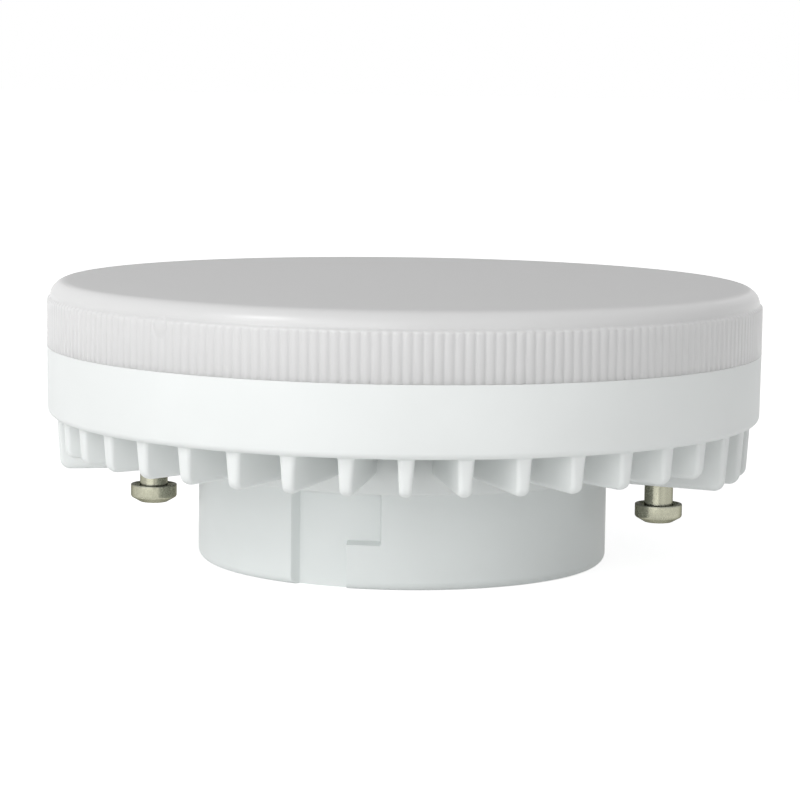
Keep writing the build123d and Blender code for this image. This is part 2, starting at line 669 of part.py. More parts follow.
with BuildPart() as input_capacitor:
    with BuildSketch(Plane(origin=(*FILM_AT, BOARD_TOP), x_dir=(*polar(1, FILM_ANGLE + 90), 0))):
        Rectangle(FILM_L, FILM_W)
    extrude(amount=FILM_H)
    fillet(input_capacitor.edges().filter_by(Axis.Z), FILM_CORNER)
    with BuildSketch(Plane.XY.offset(LEAD_END_Z)):
        with Locations(*FILM_WIRES):
            Circle(WIRE_R)
    extrude(amount=BOARD_TOP - LEAD_END_Z + WIRE_R)

input_capacitor.part.label = "input_capacitor"
export_step(input_capacitor.part, "parts/input_capacitor.step")


# Inductor: a ferrite drum between two cheeks, with its winding as one ring
coil_axis = Axis((*COIL_AT, 0), (0, 0, 1))
coil_plane = Plane(origin=(*COIL_AT, BOARD_TOP), x_dir=(1, 0, 0), z_dir=(0, -1, 0))
with BuildPart() as inductor_core:
    with BuildSketch(coil_plane):
        Rectangle(COIL_CORE_R, COIL_CORE_H, align=(Align.MIN, Align.MIN))
        with Locations((COIL_POST_R, COIL_CHEEK_T)):
            Rectangle(COIL_CORE_R, COIL_CORE_H - 2 * COIL_CHEEK_T, align=(Align.MIN, Align.MIN),
                      mode=Mode.SUBTRACT)
    revolve(axis=coil_axis)
    with BuildSketch(Plane.XY.offset(LEAD_END_Z)):
        with Locations(*COIL_WIRES):
            Circle(WIRE_R)
    extrude(amount=BOARD_TOP - LEAD_END_Z + WIRE_R)

inductor_core.part.label = "inductor_core"
export_step(inductor_core.part, "parts/inductor_core.step")

with BuildPart() as inductor_coil:
    with BuildSketch(coil_plane) as coil_section:
        with Locations((COIL_POST_R + COIL_CLEARANCE, COIL_CHEEK_T + COIL_CLEARANCE)):
            Rectangle(COIL_CORE_R - COIL_SINK - COIL_POST_R - COIL_CLEARANCE,
                      COIL_CORE_H - 2 * (COIL_CHEEK_T + COIL_CLEARANCE), align=(Align.MIN, Align.MIN))
        chamfer(coil_section.vertices().group_by(Axis.X)[-1], COIL_SINK)
    revolve(axis=coil_axis)

inductor_coil.part.label = "inductor_coil"
export_step(inductor_coil.part, "parts/inductor_coil.step")


# Fusible resistor: stands on end, with its top wire looped over and down beside it
with BuildPart() as fusible_resistor:
    body_at, return_at = FUSE_WIRES
    body_z = BOARD_TOP + FUSE_STAND
    with BuildLine() as fuse_route:
        FilletPolyline((*body_at, LEAD_END_Z), (*body_at, body_z + FUSE_L + FUSE_LOOP),
                       (*return_at, body_z + FUSE_L + FUSE_LOOP), (*return_at, LEAD_END_Z),
                       radius=FUSE_PITCH / 2 - WIRE_R / 2)
    with BuildSketch(Plane(origin=fuse_route.line @ 0, z_dir=fuse_route.line % 0)):
        Circle(WIRE_R)
    sweep()
    with BuildSketch(Plane.XY.offset(body_z)):
        with Locations(body_at):
            Circle(FUSE_R)
    extrude(amount=FUSE_L)

fusible_resistor.part.label = "fusible_resistor"
export_step(fusible_resistor.part, "parts/fusible_resistor.step")


def flat_package(place, turn, length, width, height, feet, pitch, foot_w):
    """Surface-mounted package: a low block on flat feet that reach out of its two long sides."""
    plane = Plane(origin=(*place, BOARD_TOP), x_dir=(*polar(1, turn), 0))
    with BuildPart() as package:
        with BuildSketch(plane.offset(FOOT_T)):
            Rectangle(length, width)
        extrude(amount=height - FOOT_T)
        with BuildSketch(plane):
            with GridLocations(pitch, 0, feet, 1):
                Rectangle(foot_w, width + 2 * FOOT_REACH)
                Rectangle(foot_w, width - FOOT_REACH, mode=Mode.SUBTRACT)
        extrude(amount=FOOT_T)
    return package.part


bridge_rectifier = flat_package(
    polar(BOARD_R - BRIDGE_INSET, BRIDGE_ANGLE), 0,
    BRIDGE_L, BRIDGE_W, BRIDGE_H, BRIDGE_FEET, BRIDGE_PITCH, BRIDGE_FOOT_W,
)
bridge_rectifier.label = "bridge_rectifier"
export_step(bridge_rectifier, "parts/bridge_rectifier.step")

driver_chip = flat_package(
    polar(BOARD_R - CHIP_INSET, CHIP_ANGLE), 90,
    CHIP_L, CHIP_W, CHIP_H, CHIP_FEET, CHIP_PITCH, CHIP_FOOT_W,
)
driver_chip.label = "driver_chip"
export_step(driver_chip, "parts/driver_chip.step")

output_diode = flat_package(
    polar(BOARD_R - DIODE_INSET, DIODE_ANGLE), 90,
    DIODE_L, DIODE_W, DIODE_H, DIODE_FEET, DIODE_L, DIODE_FOOT_W,
)
output_diode.label = "output_diode"
export_step(output_diode, "parts/output_diode.step")

# Sense resistors: two chips side by side, below the LED leads
with BuildPart() as sense_resistors:
    with BuildSketch(Plane.XY.offset(BOARD_TOP)):
        with Locations((0, RESISTOR_Y)):
            with GridLocations(0, RESISTOR_SPACING, 1, 2):
                Rectangle(RESISTOR_L, RESISTOR_W)
    extrude(amount=RESISTOR_H)

sense_resistors.part.label = "sense_resistors"
export_step(sense_resistors.part, "parts/sense_resistors.step")
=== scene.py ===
"""Looks of a replaceable two-pin disc lamp for a cabinet light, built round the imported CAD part.

The sizes below are in millimetres and repeat those of the CAD part; the meshes are in metres.
"""

import logging
import math
from collections.abc import Callable, Iterable
from dataclasses import dataclass, field
from enum import Enum
from typing import Any

import bpy
import numpy as np
from mathutils import Matrix


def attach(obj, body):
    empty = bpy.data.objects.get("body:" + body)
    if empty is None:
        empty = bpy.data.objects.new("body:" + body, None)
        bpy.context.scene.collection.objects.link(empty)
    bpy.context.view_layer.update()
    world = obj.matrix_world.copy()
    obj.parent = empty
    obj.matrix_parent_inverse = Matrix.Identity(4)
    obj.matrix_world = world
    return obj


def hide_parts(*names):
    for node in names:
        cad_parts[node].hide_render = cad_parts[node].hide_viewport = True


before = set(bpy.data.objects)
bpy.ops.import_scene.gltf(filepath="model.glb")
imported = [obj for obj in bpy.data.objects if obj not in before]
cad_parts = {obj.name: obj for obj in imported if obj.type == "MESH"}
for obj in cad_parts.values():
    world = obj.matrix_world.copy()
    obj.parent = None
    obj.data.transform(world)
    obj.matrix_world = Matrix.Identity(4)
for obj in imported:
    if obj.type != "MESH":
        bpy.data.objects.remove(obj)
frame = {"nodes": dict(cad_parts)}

MM = 0.001
LOG = logging.getLogger("disc_lamp")

Colour = tuple[float, float, float]


def srgb(red: int, green: int, blue: int) -> Colour:
    """Linear colour of an 8-bit screen colour: ((c + 0.055) / 1.055) ** 2.4 above the toe.

    Args:
        red: Red level, 0 to 255.
        green: Green level, 0 to 255.
        blue: Blue level, 0 to 255.

    Returns:
        The three linear levels, 0 to 1.
    """
    levels = np.array([red, green, blue]) / 255
    linear = np.where(levels > 0.04045, ((levels + 0.055) / 1.055) ** 2.4, levels / 12.92)
    return tuple(float(level) for level in linear)


def rounded_path(corners: Iterable[tuple[float, float, float]], steps: int = 6) -> np.ndarray:
    """Path through corners that are rounded by arcs.

    A corner's arc touches both runs at radius / tan(half angle) from the corner, and is swept from
    its centre by sin((1 - s) w) u + sin(s w) v over sin(w), for the arc's turn w and its two end
    directions u and v.

    Args:
        corners: Radius from the axis, height and arc radius of each corner, in order. The first
            and last have no arc.
        steps: Number of segments in each arc.

    Returns:
        Points of the path, one row each.
    """
    table = np.array(list(corners), float)
    points, radii = table[:, :2], table[:, 2:].copy()
    radii[[0, -1]] = 0
    before = np.roll(points, 1, axis=0) - points
    after = np.roll(points, -1, axis=0) - points
    before /= np.linalg.norm(before, axis=1, keepdims=True).clip(1e-9)
    after /= np.linalg.norm(after, axis=1, keepdims=True).clip(1e-9)
    half = np.arccos(np.clip((before * after).sum(1, keepdims=True), -1, 1)) / 2
    half = half.clip(1e-3, np.pi / 2 - 1e-3)
    middle = before + after
    middle /= np.linalg.norm(middle, axis=1, keepdims=True).clip(1e-9)
    centres = points + middle * radii / np.sin(half)
    start = points + before * radii / np.tan(half) - centres
    end = points + after * radii / np.tan(half) - centres
    turn = (np.pi - 2 * half)[:, None]
    share = np.linspace(0, 1, steps + 1)[None, :, None]
    arcs = centres[:, None] + (
        np.sin((1 - share) * turn) * start[:, None] + np.sin(share * turn) * end[:, None]
    ) / np.sin(turn)
    path = np.where(radii[:, None] > 0, arcs, points[:, None]).reshape(-1, 2)
    keep = np.append(True, np.linalg.norm(np.diff(path, axis=0), axis=1) > 1e-6)
    return path[keep]


def ring_angles(columns: int) -> np.ndarray:
    """Equal steps round a full turn, in radians, without the repeated last one."""
    return np.arange(columns) * 2 * np.pi / columns


def turned(
    path: np.ndarray, angles: np.ndarray, centre: tuple[float, float] = (0, 0)
) -> np.ndarray:
    """Path turned about a vertical axis: x = r cos a, y = r sin a and z = height.

    Args:
        path: Radius and height of each row, as (rows, 2), or a radius and height for every row and
            column, as (rows, columns, 2).
        angles: Angle of each column, in radians.
        centre: Where the axis stands.

    Returns:
        Points as (rows, columns, 3).
    """
    grid = path if path.ndim == 3 else np.repeat(path[:, None], len(angles), axis=1)
    return np.stack(
        [
            centre[0] + grid[..., 0] * np.cos(angles),
            centre[1] + grid[..., 0] * np.sin(angles),
            grid[..., 1],
        ],
        axis=-1,
    )


@dataclass
class Shell:
    """Points and faces of one mesh, gathered grid by grid, in millimetres."""

    name: str
    points: list[np.ndarray] = field(default_factory=list)
    faces: list[np.ndarray] = field(default_factory=list)
    count: int = 0

    def place(self, points: np.ndarray) -> np.ndarray:
        """Adds points and returns their numbers, in the shape that the points came in."""
        flat = points.reshape(-1, 3)
        numbers = self.count + np.arange(len(flat)).reshape(points.shape[:-1])
        self.points.append(flat)
        self.count += len(flat)
        return numbers

    def weave(
        self, numbers: np.ndarray, close_rows: bool = False, close_columns: bool = True
    ) -> None:
        """Adds the four-sided faces of a grid.

        Its rows run up an outer side, and its columns run anticlockwise.

        Args:
            numbers: Point numbers as (..., rows, columns); any leading axes are copies.
            close_rows: Whether the last row joins the first.
            close_columns: Whether the last column joins the first.
        """
        if close_rows:
            numbers = np.concatenate([numbers, numbers[..., :1, :]], axis=-2)
        if close_columns:
            numbers = np.concatenate([numbers, numbers[..., :1]], axis=-1)
        low, high = numbers[..., :-1, :], numbers[..., 1:, :]
        quads = np.stack([low[..., :-1], low[..., 1:], high[..., 1:], high[..., :-1]], axis=-1)
        self.faces.append(quads.reshape(-1, 4))

    def stitch(self, coarse: np.ndarray, fine: np.ndarray, coarse_below: bool) -> None:
        """Joins a coarse ring to a fine one, with one many-sided face for each coarse step.

        Args:
            coarse: Point numbers of the coarse ring.
            fine: Point numbers of the fine ring, a whole multiple as many.
            coarse_below: Whether the coarse ring comes first along the path.
        """
        share = len(fine) // len(coarse)
        steps = np.arange(len(coarse))[:, None] * share + np.arange(share + 1)
        along = fine[steps % len(fine)]
        ends = np.stack([coarse, np.roll(coarse, -1)], axis=1)
        if coarse_below:
            self.faces.append(np.concatenate([ends, along[:, ::-1]], axis=1))
        else:
            self.faces.append(np.concatenate([along, ends[:, ::-1]], axis=1))

    def close(self, ring: np.ndarray, centre: tuple[float, float, float], ring_below: bool) -> None:
        """Closes a ring with a fan of triangles round one centre point.

        Args:
            ring: Point numbers of the ring, anticlockwise.
            centre: The centre point.
            ring_below: Whether the ring comes first along the path.
        """
        hub = np.full(len(ring), self.place(np.array(centre, float)))
        following = np.roll(ring, -1)
        order = [ring, following, hub] if ring_below else [following, ring, hub]
        self.faces.append(np.stack(order, axis=1))

    def lathe(
        self,
        path: np.ndarray,
        columns: int,
        centre: tuple[float, float] = (0, 0),
        closed: bool = False,
    ) -> None:
        """Adds a turned body. Ends of the path that lie on the axis are closed by fans.

        Args:
            path: Radius and height of each row, anticlockwise round the section.
            columns: Number of columns.
            centre: Where the axis stands.
            closed: Whether the path closes on itself, as in a ring.
        """
        first, last = path[0], path[-1]
        body = path[int(first[0] < 1e-9) : len(path) - int(last[0] < 1e-9)]
        if closed:
            body = path[:-1] if np.allclose(first, last) else path
        numbers = self.place(turned(body, ring_angles(columns), centre))
        self.weave(numbers, close_rows=closed)
        if not closed and first[0] < 1e-9:
            self.close(numbers[0], (*centre, first[1]), ring_below=False)
        if not closed and last[0] < 1e-9:
            self.close(numbers[-1], (*centre, last[1]), ring_below=True)

    def build(self, crease: float = 38.0) -> bpy.types.Object:
        """Writes the mesh in metres, shades it smooth but for its creases, and links its object.

        Args:
            crease: Smallest turn between two faces, in degrees, that shows as an edge.

        Returns:
            The new object, at the origin.
        """
        mesh = bpy.data.meshes.new(self.name)
        points = np.concatenate(self.points) * MM
        sizes = np.concatenate([np.full(len(block), block.shape[1]) for block in self.faces])
        corners = np.concatenate([block.ravel() for block in self.faces])
        mesh.vertices.add(len(points))
        mesh.vertices.foreach_set("co", points.astype(np.float32).ravel())
        mesh.loops.add(len(corners))
        mesh.loops.foreach_set("vertex_index", corners.astype(np.int32))
        mesh.polygons.add(len(sizes))
        starts = np.concatenate([[0], np.cumsum(sizes)[:-1]])
        mesh.polygons.foreach_set("loop_start", starts.astype(np.int32))
        mesh.update(calc_edges=True)
        mesh.validate()
        mesh.shade_smooth()
        mesh.set_sharp_from_angle(angle=math.radians(crease))
        made = bpy.data.objects.new(self.name, mesh)
        bpy.context.scene.collection.objects.link(made)
        return made


@dataclass(frozen=True)
class Signal:
    """A value socket of a node tree. Python's operators on it add Math nodes."""

    graph: "Graph"
    socket: bpy.types.NodeSocket

    def _maths(self, operation: str, *values: Any) -> "Signal":
        """Adds one Math node over these values and returns its output."""
        made = self.graph.node("ShaderNodeMath", {"operation": operation}, dict(enumerate(values)))
        return Signal(self.graph, made.outputs[0])

    def __add__(self, other: Any) -> "Signal":
        """Sum."""
        return self._maths("ADD", self, other)

    __radd__ = __add__

    def __mul__(self, other: Any) -> "Signal":
        """Product."""
        return self._maths("MULTIPLY", self, other)

    __rmul__ = __mul__

    def __sub__(self, other: Any) -> "Signal":
        """Difference."""
        return self._maths("SUBTRACT", self, other)

    def __rsub__(self, other: Any) -> "Signal":
        """Difference, with the operands the other way round."""
        return self._maths("SUBTRACT", other, self)

    def __gt__(self, other: Any) -> "Signal":
        """One where it is greater, and zero elsewhere."""
        return self._maths("GREATER_THAN", self, other)

    def __lt__(self, other: Any) -> "Signal":
        """One where it is less, and zero elsewhere."""
        return self._maths("LESS_THAN", self, other)

    def ramp(self, low: float, high: float) -> "Signal":
        """Rises smoothly from zero at low to one at high.

        Args:
            low: Value that gives zero.
            high: Value that gives one; below low, the rise is turned round.

        Returns:
            The new signal, held between zero and one.
        """
        made = self.graph.node(
            "ShaderNodeMapRange",
            {"interpolation_type": "SMOOTHSTEP"},
            {"Value": self, "From Min": low, "From Max": high},
        )
        return Signal(self.graph, made.outputs["Result"])


class Graph:
    """The node tree of one material, which ends in a Principled shader."""

    def __init__(self, name: str) -> None:
        """Starts the material.

        Args:
            name: Name of the material.
        """
        self.material = bpy.data.materials.new(name)
        self.material.use_nodes = True
        self.tree = self.material.node_tree
        self.shader = self.tree.nodes["Principled BSDF"]
        self.place = self.node("ShaderNodeTexCoord").outputs["Object"]

    def node(
        self,
        kind: str,
        settings: dict[str, Any] | None = None,
        inputs: dict[Any, Any] | None = None,
    ) -> bpy.types.Node:
        """Adds a node.

        Args:
            kind: Blender's type name of the node.
            settings: Properties of the node, set first.
            inputs: Values, sockets or signals by the name or number of the input socket.

        Returns:
            The node.
        """
        made = self.tree.nodes.new(kind)
        for key, value in (settings or {}).items():
            setattr(made, key, value)
        for key, value in (inputs or {}).items():
            self.feed(made.inputs[key], value)
        return made

    def feed(self, socket: bpy.types.NodeSocket, value: Any) -> None:
        """Links a socket or signal to an input, or sets the input's own value."""
        if isinstance(value, Signal):
            value = value.socket
        if isinstance(value, bpy.types.NodeSocket):
            self.tree.links.new(value, socket)
        elif socket.type == "RGBA":
            socket.default_value = (*value, 1)
        else:
            socket.default_value = value

    def height(self) -> Signal:
        """Height above the boss's foot, in millimetres."""
        parts = self.node("ShaderNodeSeparateXYZ", inputs={0: self.place})
        return Signal(self, parts.outputs["Z"]) * (1 / MM)

    def wave(self, period: float) -> Signal:
        """Sine of the height over a period, in millimetres."""
        turns = self.height() * (2 * math.pi / period)
        made = self.node("ShaderNodeMath", {"operation": "SINE"}, {0: turns})
        return Signal(self, made.outputs[0])

    def noise(self, size: float, detail: float = 2.0, stretch: Colour = (1, 1, 1)) -> Signal:
        """Cloudy noise about 0.5.

        Args:
            size: Width of its clouds, in millimetres.
            detail: Number of finer layers.
            stretch: Scale of the coordinates along x, y and z.

        Returns:
            The noise's value.
        """
        place = self.node("ShaderNodeMapping", inputs={"Vector": self.place, "Scale": stretch})
        made = self.node(
            "ShaderNodeTexNoise",
            inputs={"Vector": place.outputs[0], "Scale": 1 / (size * MM), "Detail": detail},
        )
        return Signal(self, made.outputs["Fac"])

    def cells(self, size: float) -> Signal:
        """Random value of each cell of a cellular pattern.

        Args:
            size: Width of a cell, in millimetres.

        Returns:
            The cell's value, 0 to 1.
        """
        made = self.node(
            "ShaderNodeTexVoronoi", inputs={"Vector": self.place, "Scale": 1 / (size * MM)}
        )
        parts = self.node("ShaderNodeSeparateColor", inputs={0: made.outputs["Color"]})
        return Signal(self, parts.outputs[0])

    def mix(self, share: Any, first: Any, second: Any) -> bpy.types.NodeSocket:
        """Mixes two colours.

        Args:
            share: How much of the second there is.
            first: Colour, or a colour socket.
            second: Colour, or a colour socket.

        Returns:
            The mixed colour's socket.
        """
        made = self.node("ShaderNodeMix", {"data_type": "RGBA"}, {0: share, 6: first, 7: second})
        return made.outputs[2]

    def bump(self, height: Signal, depth: float) -> None:
        """Lets a height pattern push the shader's normal.

        Args:
            height: Pattern between 0 and 1.
            depth: What 1 stands for, in millimetres.
        """
        made = self.node(
            "ShaderNodeBump", inputs={"Strength": 1.0, "Distance": depth * MM, "Height": height}
        )
        self.feed(self.shader.inputs["Normal"], made.outputs[0])

    def set(self, **values: Any) -> None:
        """Sets or feeds the shader's sockets, named with underscores for spaces."""
        for key, value in values.items():
            self.feed(self.shader.inputs[key.replace("_", " ")], value)


@dataclass(frozen=True)
class MouldedPlastic:
    """Injection-moulded plastic: a fine skin, faint flow clouds and a slightly uneven gloss."""

    name: str
    colour: Colour
    shade: Colour
    roughness: float = 0.4
    gloss_change: float = 0.08
    cloud: float = 14.0
    grain: float = 0.22
    grain_depth: float = 0.004
    specular: float = 0.32

    def material(self) -> bpy.types.Material:
        """Makes the material: its colour drifts between two shades with the flow clouds."""
        graph = Graph(self.name)
        clouds = graph.noise(self.cloud, detail=3)
        skin = graph.noise(self.grain, detail=3)
        graph.set(
            Base_Color=graph.mix(clouds.ramp(0.3, 0.7), self.colour, self.shade),
            Roughness=self.roughness + (skin - 0.5) * self.gloss_change,
            Specular_IOR_Level=self.specular,
        )
        graph.bump(skin, self.grain_depth)
        return graph.material


@dataclass(frozen=True)
class FrostedPlastic:
    """Opal light-spreading plastic: light spreads inside its wall; its crown is matt, and painted
    shade darkens the crown's colour.
    """

    name: str
    colour: Colour
    shade: Colour
    roughness: float = 0.45
    matt: float = 0.8
    matt_low: float = 28.2
    matt_high: float = 28.55
    specular: float = 0.16
    gloss: float = 0.75
    gloss_roughness: float = 0.25
    spread: float = 2.0
    spread_weight: float = 0.5
    # Factor on the crown's colour: painted shade that makes the top look less lit.
    crown_painted_shade: float = 0.91
    frosting: float = 0.09
    frosting_change: float = 0.06
    frosting_depth: float = 0.0012
    cloud: float = 22.0

    def material(self) -> bpy.types.Material:
        """Makes the material: fine frosting, faint clouds, a gloss that ends at the crown, and
        painted shade on the crown's colour.
        """
        graph = Graph(self.name)
        frosting = graph.noise(self.frosting, detail=2)
        clouds = graph.noise(self.cloud, detail=2)
        crown = graph.height().ramp(self.matt_low, self.matt_high)
        roughness = self.roughness + crown * (self.matt - self.roughness)
        cloudy = graph.mix(clouds.ramp(0.3, 0.7), self.colour, self.shade)
        # Painted shade: the crown takes the second shade scaled down by a fixed factor.
        painted_shade_crown_colour = tuple(level * self.crown_painted_shade for level in self.shade)
        graph.set(
            Base_Color=graph.mix(crown, cloudy, painted_shade_crown_colour),
            Roughness=roughness + (frosting - 0.5) * self.frosting_change,
            Specular_IOR_Level=self.specular,
            Coat_Weight=(1 - crown) * self.gloss,
            Coat_Roughness=self.gloss_roughness,
            Subsurface_Weight=self.spread_weight,
            Subsurface_Radius=(1.0, 1.0, 1.0),
            Subsurface_Scale=self.spread * MM,
        )
        graph.bump(frosting, self.frosting_depth)
        return graph.material


@dataclass(frozen=True)
class PlatedMetal:
    """Turned and plated metal: fine rings from the tool, speckled plating and duller patches;
    painted shade on the neck, a painted dark reflection on the head's top ring and painted dark
    reflections at the edges.
    """

    name: str
    colour: Colour
    shade: Colour
    # Colour of the head's top ring between rim_low and rim_high: a painted dark reflection.
    rim: Colour
    rim_low: float
    rim_high: float
    roughness: float = 0.26
    ring: float = 0.12
    speckle: float = 0.16
    patch: float = 1.6
    speckle_share: float = 0.25
    patch_share: float = 0.6
    # Share of the second shade on the neck above the rim: painted shade.
    neck_painted_shade: float = 0.6
    step: float = 0.1
    depth: float = 0.003
    # Dark tint of the reflection at glancing angles: a painted dark reflection at the pins' edges.
    painted_dark_edge_tint: Colour = (0.3, 0.3, 0.28)

    def material(self) -> bpy.types.Material:
        """Makes the material: bright below the rim's height, a painted dark reflection at it and
        painted shade above it.
        """
        graph = Graph(self.name)
        rings = graph.noise(self.ring * 8, detail=2, stretch=(1, 1, 8))
        speckles = graph.cells(self.speckle)
        patches = graph.noise(self.patch, detail=3)
        height = graph.height()
        mottle = speckles * self.speckle_share + patches * self.patch_share
        above = height.ramp(self.rim_low, self.rim_low + self.step)
        # Above the rim's height the mottle gives way to a fixed share of the second shade: painted
        # shade on the neck.
        shaded = above * self.neck_painted_shade + (1 - above) * mottle
        colour = graph.mix(shaded, self.colour, self.shade)
        # The head's top ring takes the rim colour: a painted dark reflection.
        painted_dark_rim = above * height.ramp(self.rim_high + self.step, self.rim_high)
        graph.set(
            Base_Color=graph.mix(painted_dark_rim, colour, self.rim),
            Metallic=1.0,
            Roughness=self.roughness + (patches - 0.5) * 0.16 + (speckles - 0.5) * 0.06,
            # Dark tint on reflections at glancing angles: a painted dark reflection at the edges.
            Specular_Tint=self.painted_dark_edge_tint,
        )
        graph.bump(rings * 0.7 + speckles * 0.3, self.depth)
        return graph.material


class Pattern(Enum):
    """What an inside piece shows besides its own two shades."""

    PLAIN = "one material all over"
    WINDOW = "a phosphor window in a pale package"
    BOARD = "a coated board with bare edges"
    CAN = "a sleeved can with a bare top and bare wires"
    BANDS = "a lacquered body with colour bands and bare wires"
    TURNS = "wound wire"
    FEET = "a dark package on tinned feet"


@dataclass(frozen=True)
class InsideFinish:
    """Finish of pieces inside the lamp, chosen by their pattern."""

    name: str
    colour: Colour
    shade: Colour
    roughness: float = 0.5
    metallic: float = 0.0
    grain: float = 0.5
    grain_depth: float = 0.004
    pattern: Pattern = Pattern.PLAIN
    accent: Colour = (0.5, 0.5, 0.5)
    low: float = 0.0
    high: float = 0.0
    wire_w: float = 0.32
    band_pitch: float = 1.3
    band_edge: float = 0.55

    def material(self) -> bpy.types.Material:
        """Makes the material: two shades in a grain, and the accent where the pattern puts it."""
        graph = Graph(self.name)
        grain = graph.noise(self.grain, detail=3)
        colour = graph.mix(grain.ramp(0.3, 0.7), self.colour, self.shade)
        accent = self.accent_mask(graph)
        if accent is not None:
            colour = graph.mix(accent, colour, self.accent)
        metal: Any = self.metallic
        if self.pattern in (Pattern.CAN, Pattern.FEET) and accent is not None:
            metal = accent * 1.0
        graph.set(
            Base_Color=colour,
            Metallic=metal,
            Roughness=self.roughness + (grain - 0.5) * 0.12,
        )
        turns = self.pattern is Pattern.TURNS
        graph.bump(graph.wave(self.wire_w) * 0.5 + 0.5 if turns else grain, self.grain_depth)
        return graph.material

    def accent_mask(self, graph: Graph) -> Signal | None:
        """Where the accent colour shows: between two heights, or outside them.

        Args:
            graph: The material's node tree.

        Returns:
            The mask, or None for a plain piece.
        """
        if self.pattern in (Pattern.PLAIN, Pattern.TURNS):
            return None
        height = graph.height()
        if self.pattern not in (Pattern.WINDOW, Pattern.BANDS):
            return (height < self.low) + (height > self.high)
        between = (height > self.low) * (height < self.high)
        if self.pattern is Pattern.WINDOW:
            return between
        return (graph.wave(self.band_pitch) > self.band_edge) * between


# Colour of the bare metal, and the height below which it shows, in millimetres
WIRES = srgb(190, 192, 195), 5.8
FEET = srgb(196, 198, 200), 6.01
NO_TOP = 99.0

INSIDE: dict[str, InsideFinish] = {
    "led_board_screws": InsideFinish(
        "zinc_plating", srgb(188, 190, 192), srgb(160, 163, 168), 0.32, 1.0, 0.3
    ),
    "driver_board_screws": InsideFinish(
        "zinc_plating_small", srgb(188, 190, 192), srgb(160, 163, 168), 0.32, 1.0, 0.2
    ),
    "led_board": InsideFinish(
        "white_solder_mask", srgb(238, 239, 236), srgb(228, 229, 226), 0.35, 0.0, 2.0, 0.002,
        Pattern.BOARD, srgb(176, 178, 180), 19.86, 20.74,
    ),
    "led_lead_minus": InsideFinish("black_sleeve", srgb(26, 26, 28), srgb(38, 38, 40), 0.42),
    "led_lead_plus": InsideFinish("red_sleeve", srgb(170, 22, 20), srgb(148, 18, 18), 0.42),
    "input_lead_left": InsideFinish("brown_sleeve", srgb(96, 58, 36), srgb(84, 50, 30), 0.42),
    "input_lead_right": InsideFinish("blue_sleeve", srgb(34, 82, 158), srgb(28, 72, 142), 0.42),
    "led_": InsideFinish(
        "light_package", srgb(236, 234, 226), srgb(226, 224, 216), 0.4, 0.0, 0.4, 0.001,
        Pattern.WINDOW, srgb(232, 190, 64), 21.33, 21.43,
    ),
    "insulating_sheet": InsideFinish(
        "insulating_film", srgb(214, 208, 186), srgb(204, 198, 174), 0.3, 0.0, 6.0, 0.003
    ),
    "heat_spreader": InsideFinish(
        "rolled_aluminium", srgb(198, 200, 203), srgb(176, 178, 182), 0.36, 1.0, 0.6
    ),
    "thermal_pad": InsideFinish(
        "thermal_silicone", srgb(150, 156, 164), srgb(138, 144, 152), 0.7, 0.0, 0.7, 0.02
    ),
    "tag": InsideFinish("tinned_brass", srgb(196, 194, 186), srgb(176, 174, 164), 0.34, 1.0, 0.4),
    "driver_board": InsideFinish(
        "green_board", srgb(26, 92, 52), srgb(20, 78, 44), 0.36, 0.0, 1.2, 0.002,
        Pattern.BOARD, srgb(176, 160, 96), 4.26, 5.74,
    ),
    "bulk_capacitor": InsideFinish(
        "tall_can_sleeve", srgb(34, 34, 38), srgb(24, 24, 28), 0.38, 0.0, 1.0, 0.002,
        Pattern.CAN, *WIRES, 17.2,
    ),
    "output_capacitor": InsideFinish(
        "short_can_sleeve", srgb(28, 44, 92), srgb(22, 36, 78), 0.38, 0.0, 1.0, 0.002,
        Pattern.CAN, *WIRES, 13.1,
    ),
    "input_capacitor": InsideFinish(
        "film_capacitor_case", srgb(178, 62, 30), srgb(160, 54, 26), 0.3, 0.0, 0.8, 0.004,
        Pattern.CAN, *WIRES, NO_TOP,
    ),
    "inductor_core": InsideFinish(
        "ferrite", srgb(44, 42, 44), srgb(58, 56, 58), 0.6, 0.0, 0.25, 0.01,
        Pattern.CAN, *WIRES, NO_TOP,
    ),
    "inductor_coil": InsideFinish(
        "enamelled_copper", srgb(188, 92, 44), srgb(150, 66, 30), 0.3, 1.0, 0.5, 0.05,
        Pattern.TURNS,
    ),
    "fusible_resistor": InsideFinish(
        "resistor_lacquer", srgb(116, 150, 150), srgb(102, 136, 138), 0.32, 0.0, 0.5, 0.004,
        Pattern.BANDS, srgb(92, 40, 24), 8.0, 13.0,
    ),
    "bridge_rectifier": InsideFinish(
        "bridge_compound", srgb(36, 36, 38), srgb(46, 46, 48), 0.5, 0.0, 0.2, 0.01,
        Pattern.FEET, *FEET, NO_TOP,
    ),
    "driver_chip": InsideFinish(
        "chip_compound", srgb(30, 30, 32), srgb(40, 40, 42), 0.5, 0.0, 0.2, 0.01,
        Pattern.FEET, *FEET, NO_TOP,
    ),
    "output_diode": InsideFinish(
        "diode_compound", srgb(32, 32, 34), srgb(42, 42, 44), 0.5, 0.0, 0.2, 0.01,
        Pattern.FEET, *FEET, NO_TOP,
    ),
    "sense_resistors": InsideFinish(
        "chip_resistor_coat", srgb(28, 30, 34), srgb(36, 38, 42), 0.45, 0.0, 0.2, 0.005
    ),
}


def dress(made: bpy.types.Object, finish: Any, node: str) -> None:
    """Gives a new piece its material, hangs it under the root body and hides the CAD node that it
    stands for.

    Args:
        made: The piece.
        finish: A finish with a material method.
        node: The CAD node.
    """
    made.data.materials.append(finish.material())
    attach(made, "root")
    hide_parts(node)
    triangles = int(sum(len(face.vertices) - 2 for face in made.data.polygons))
    LOG.info("%s stands for %s, with %d triangles", made.name, node, triangles)


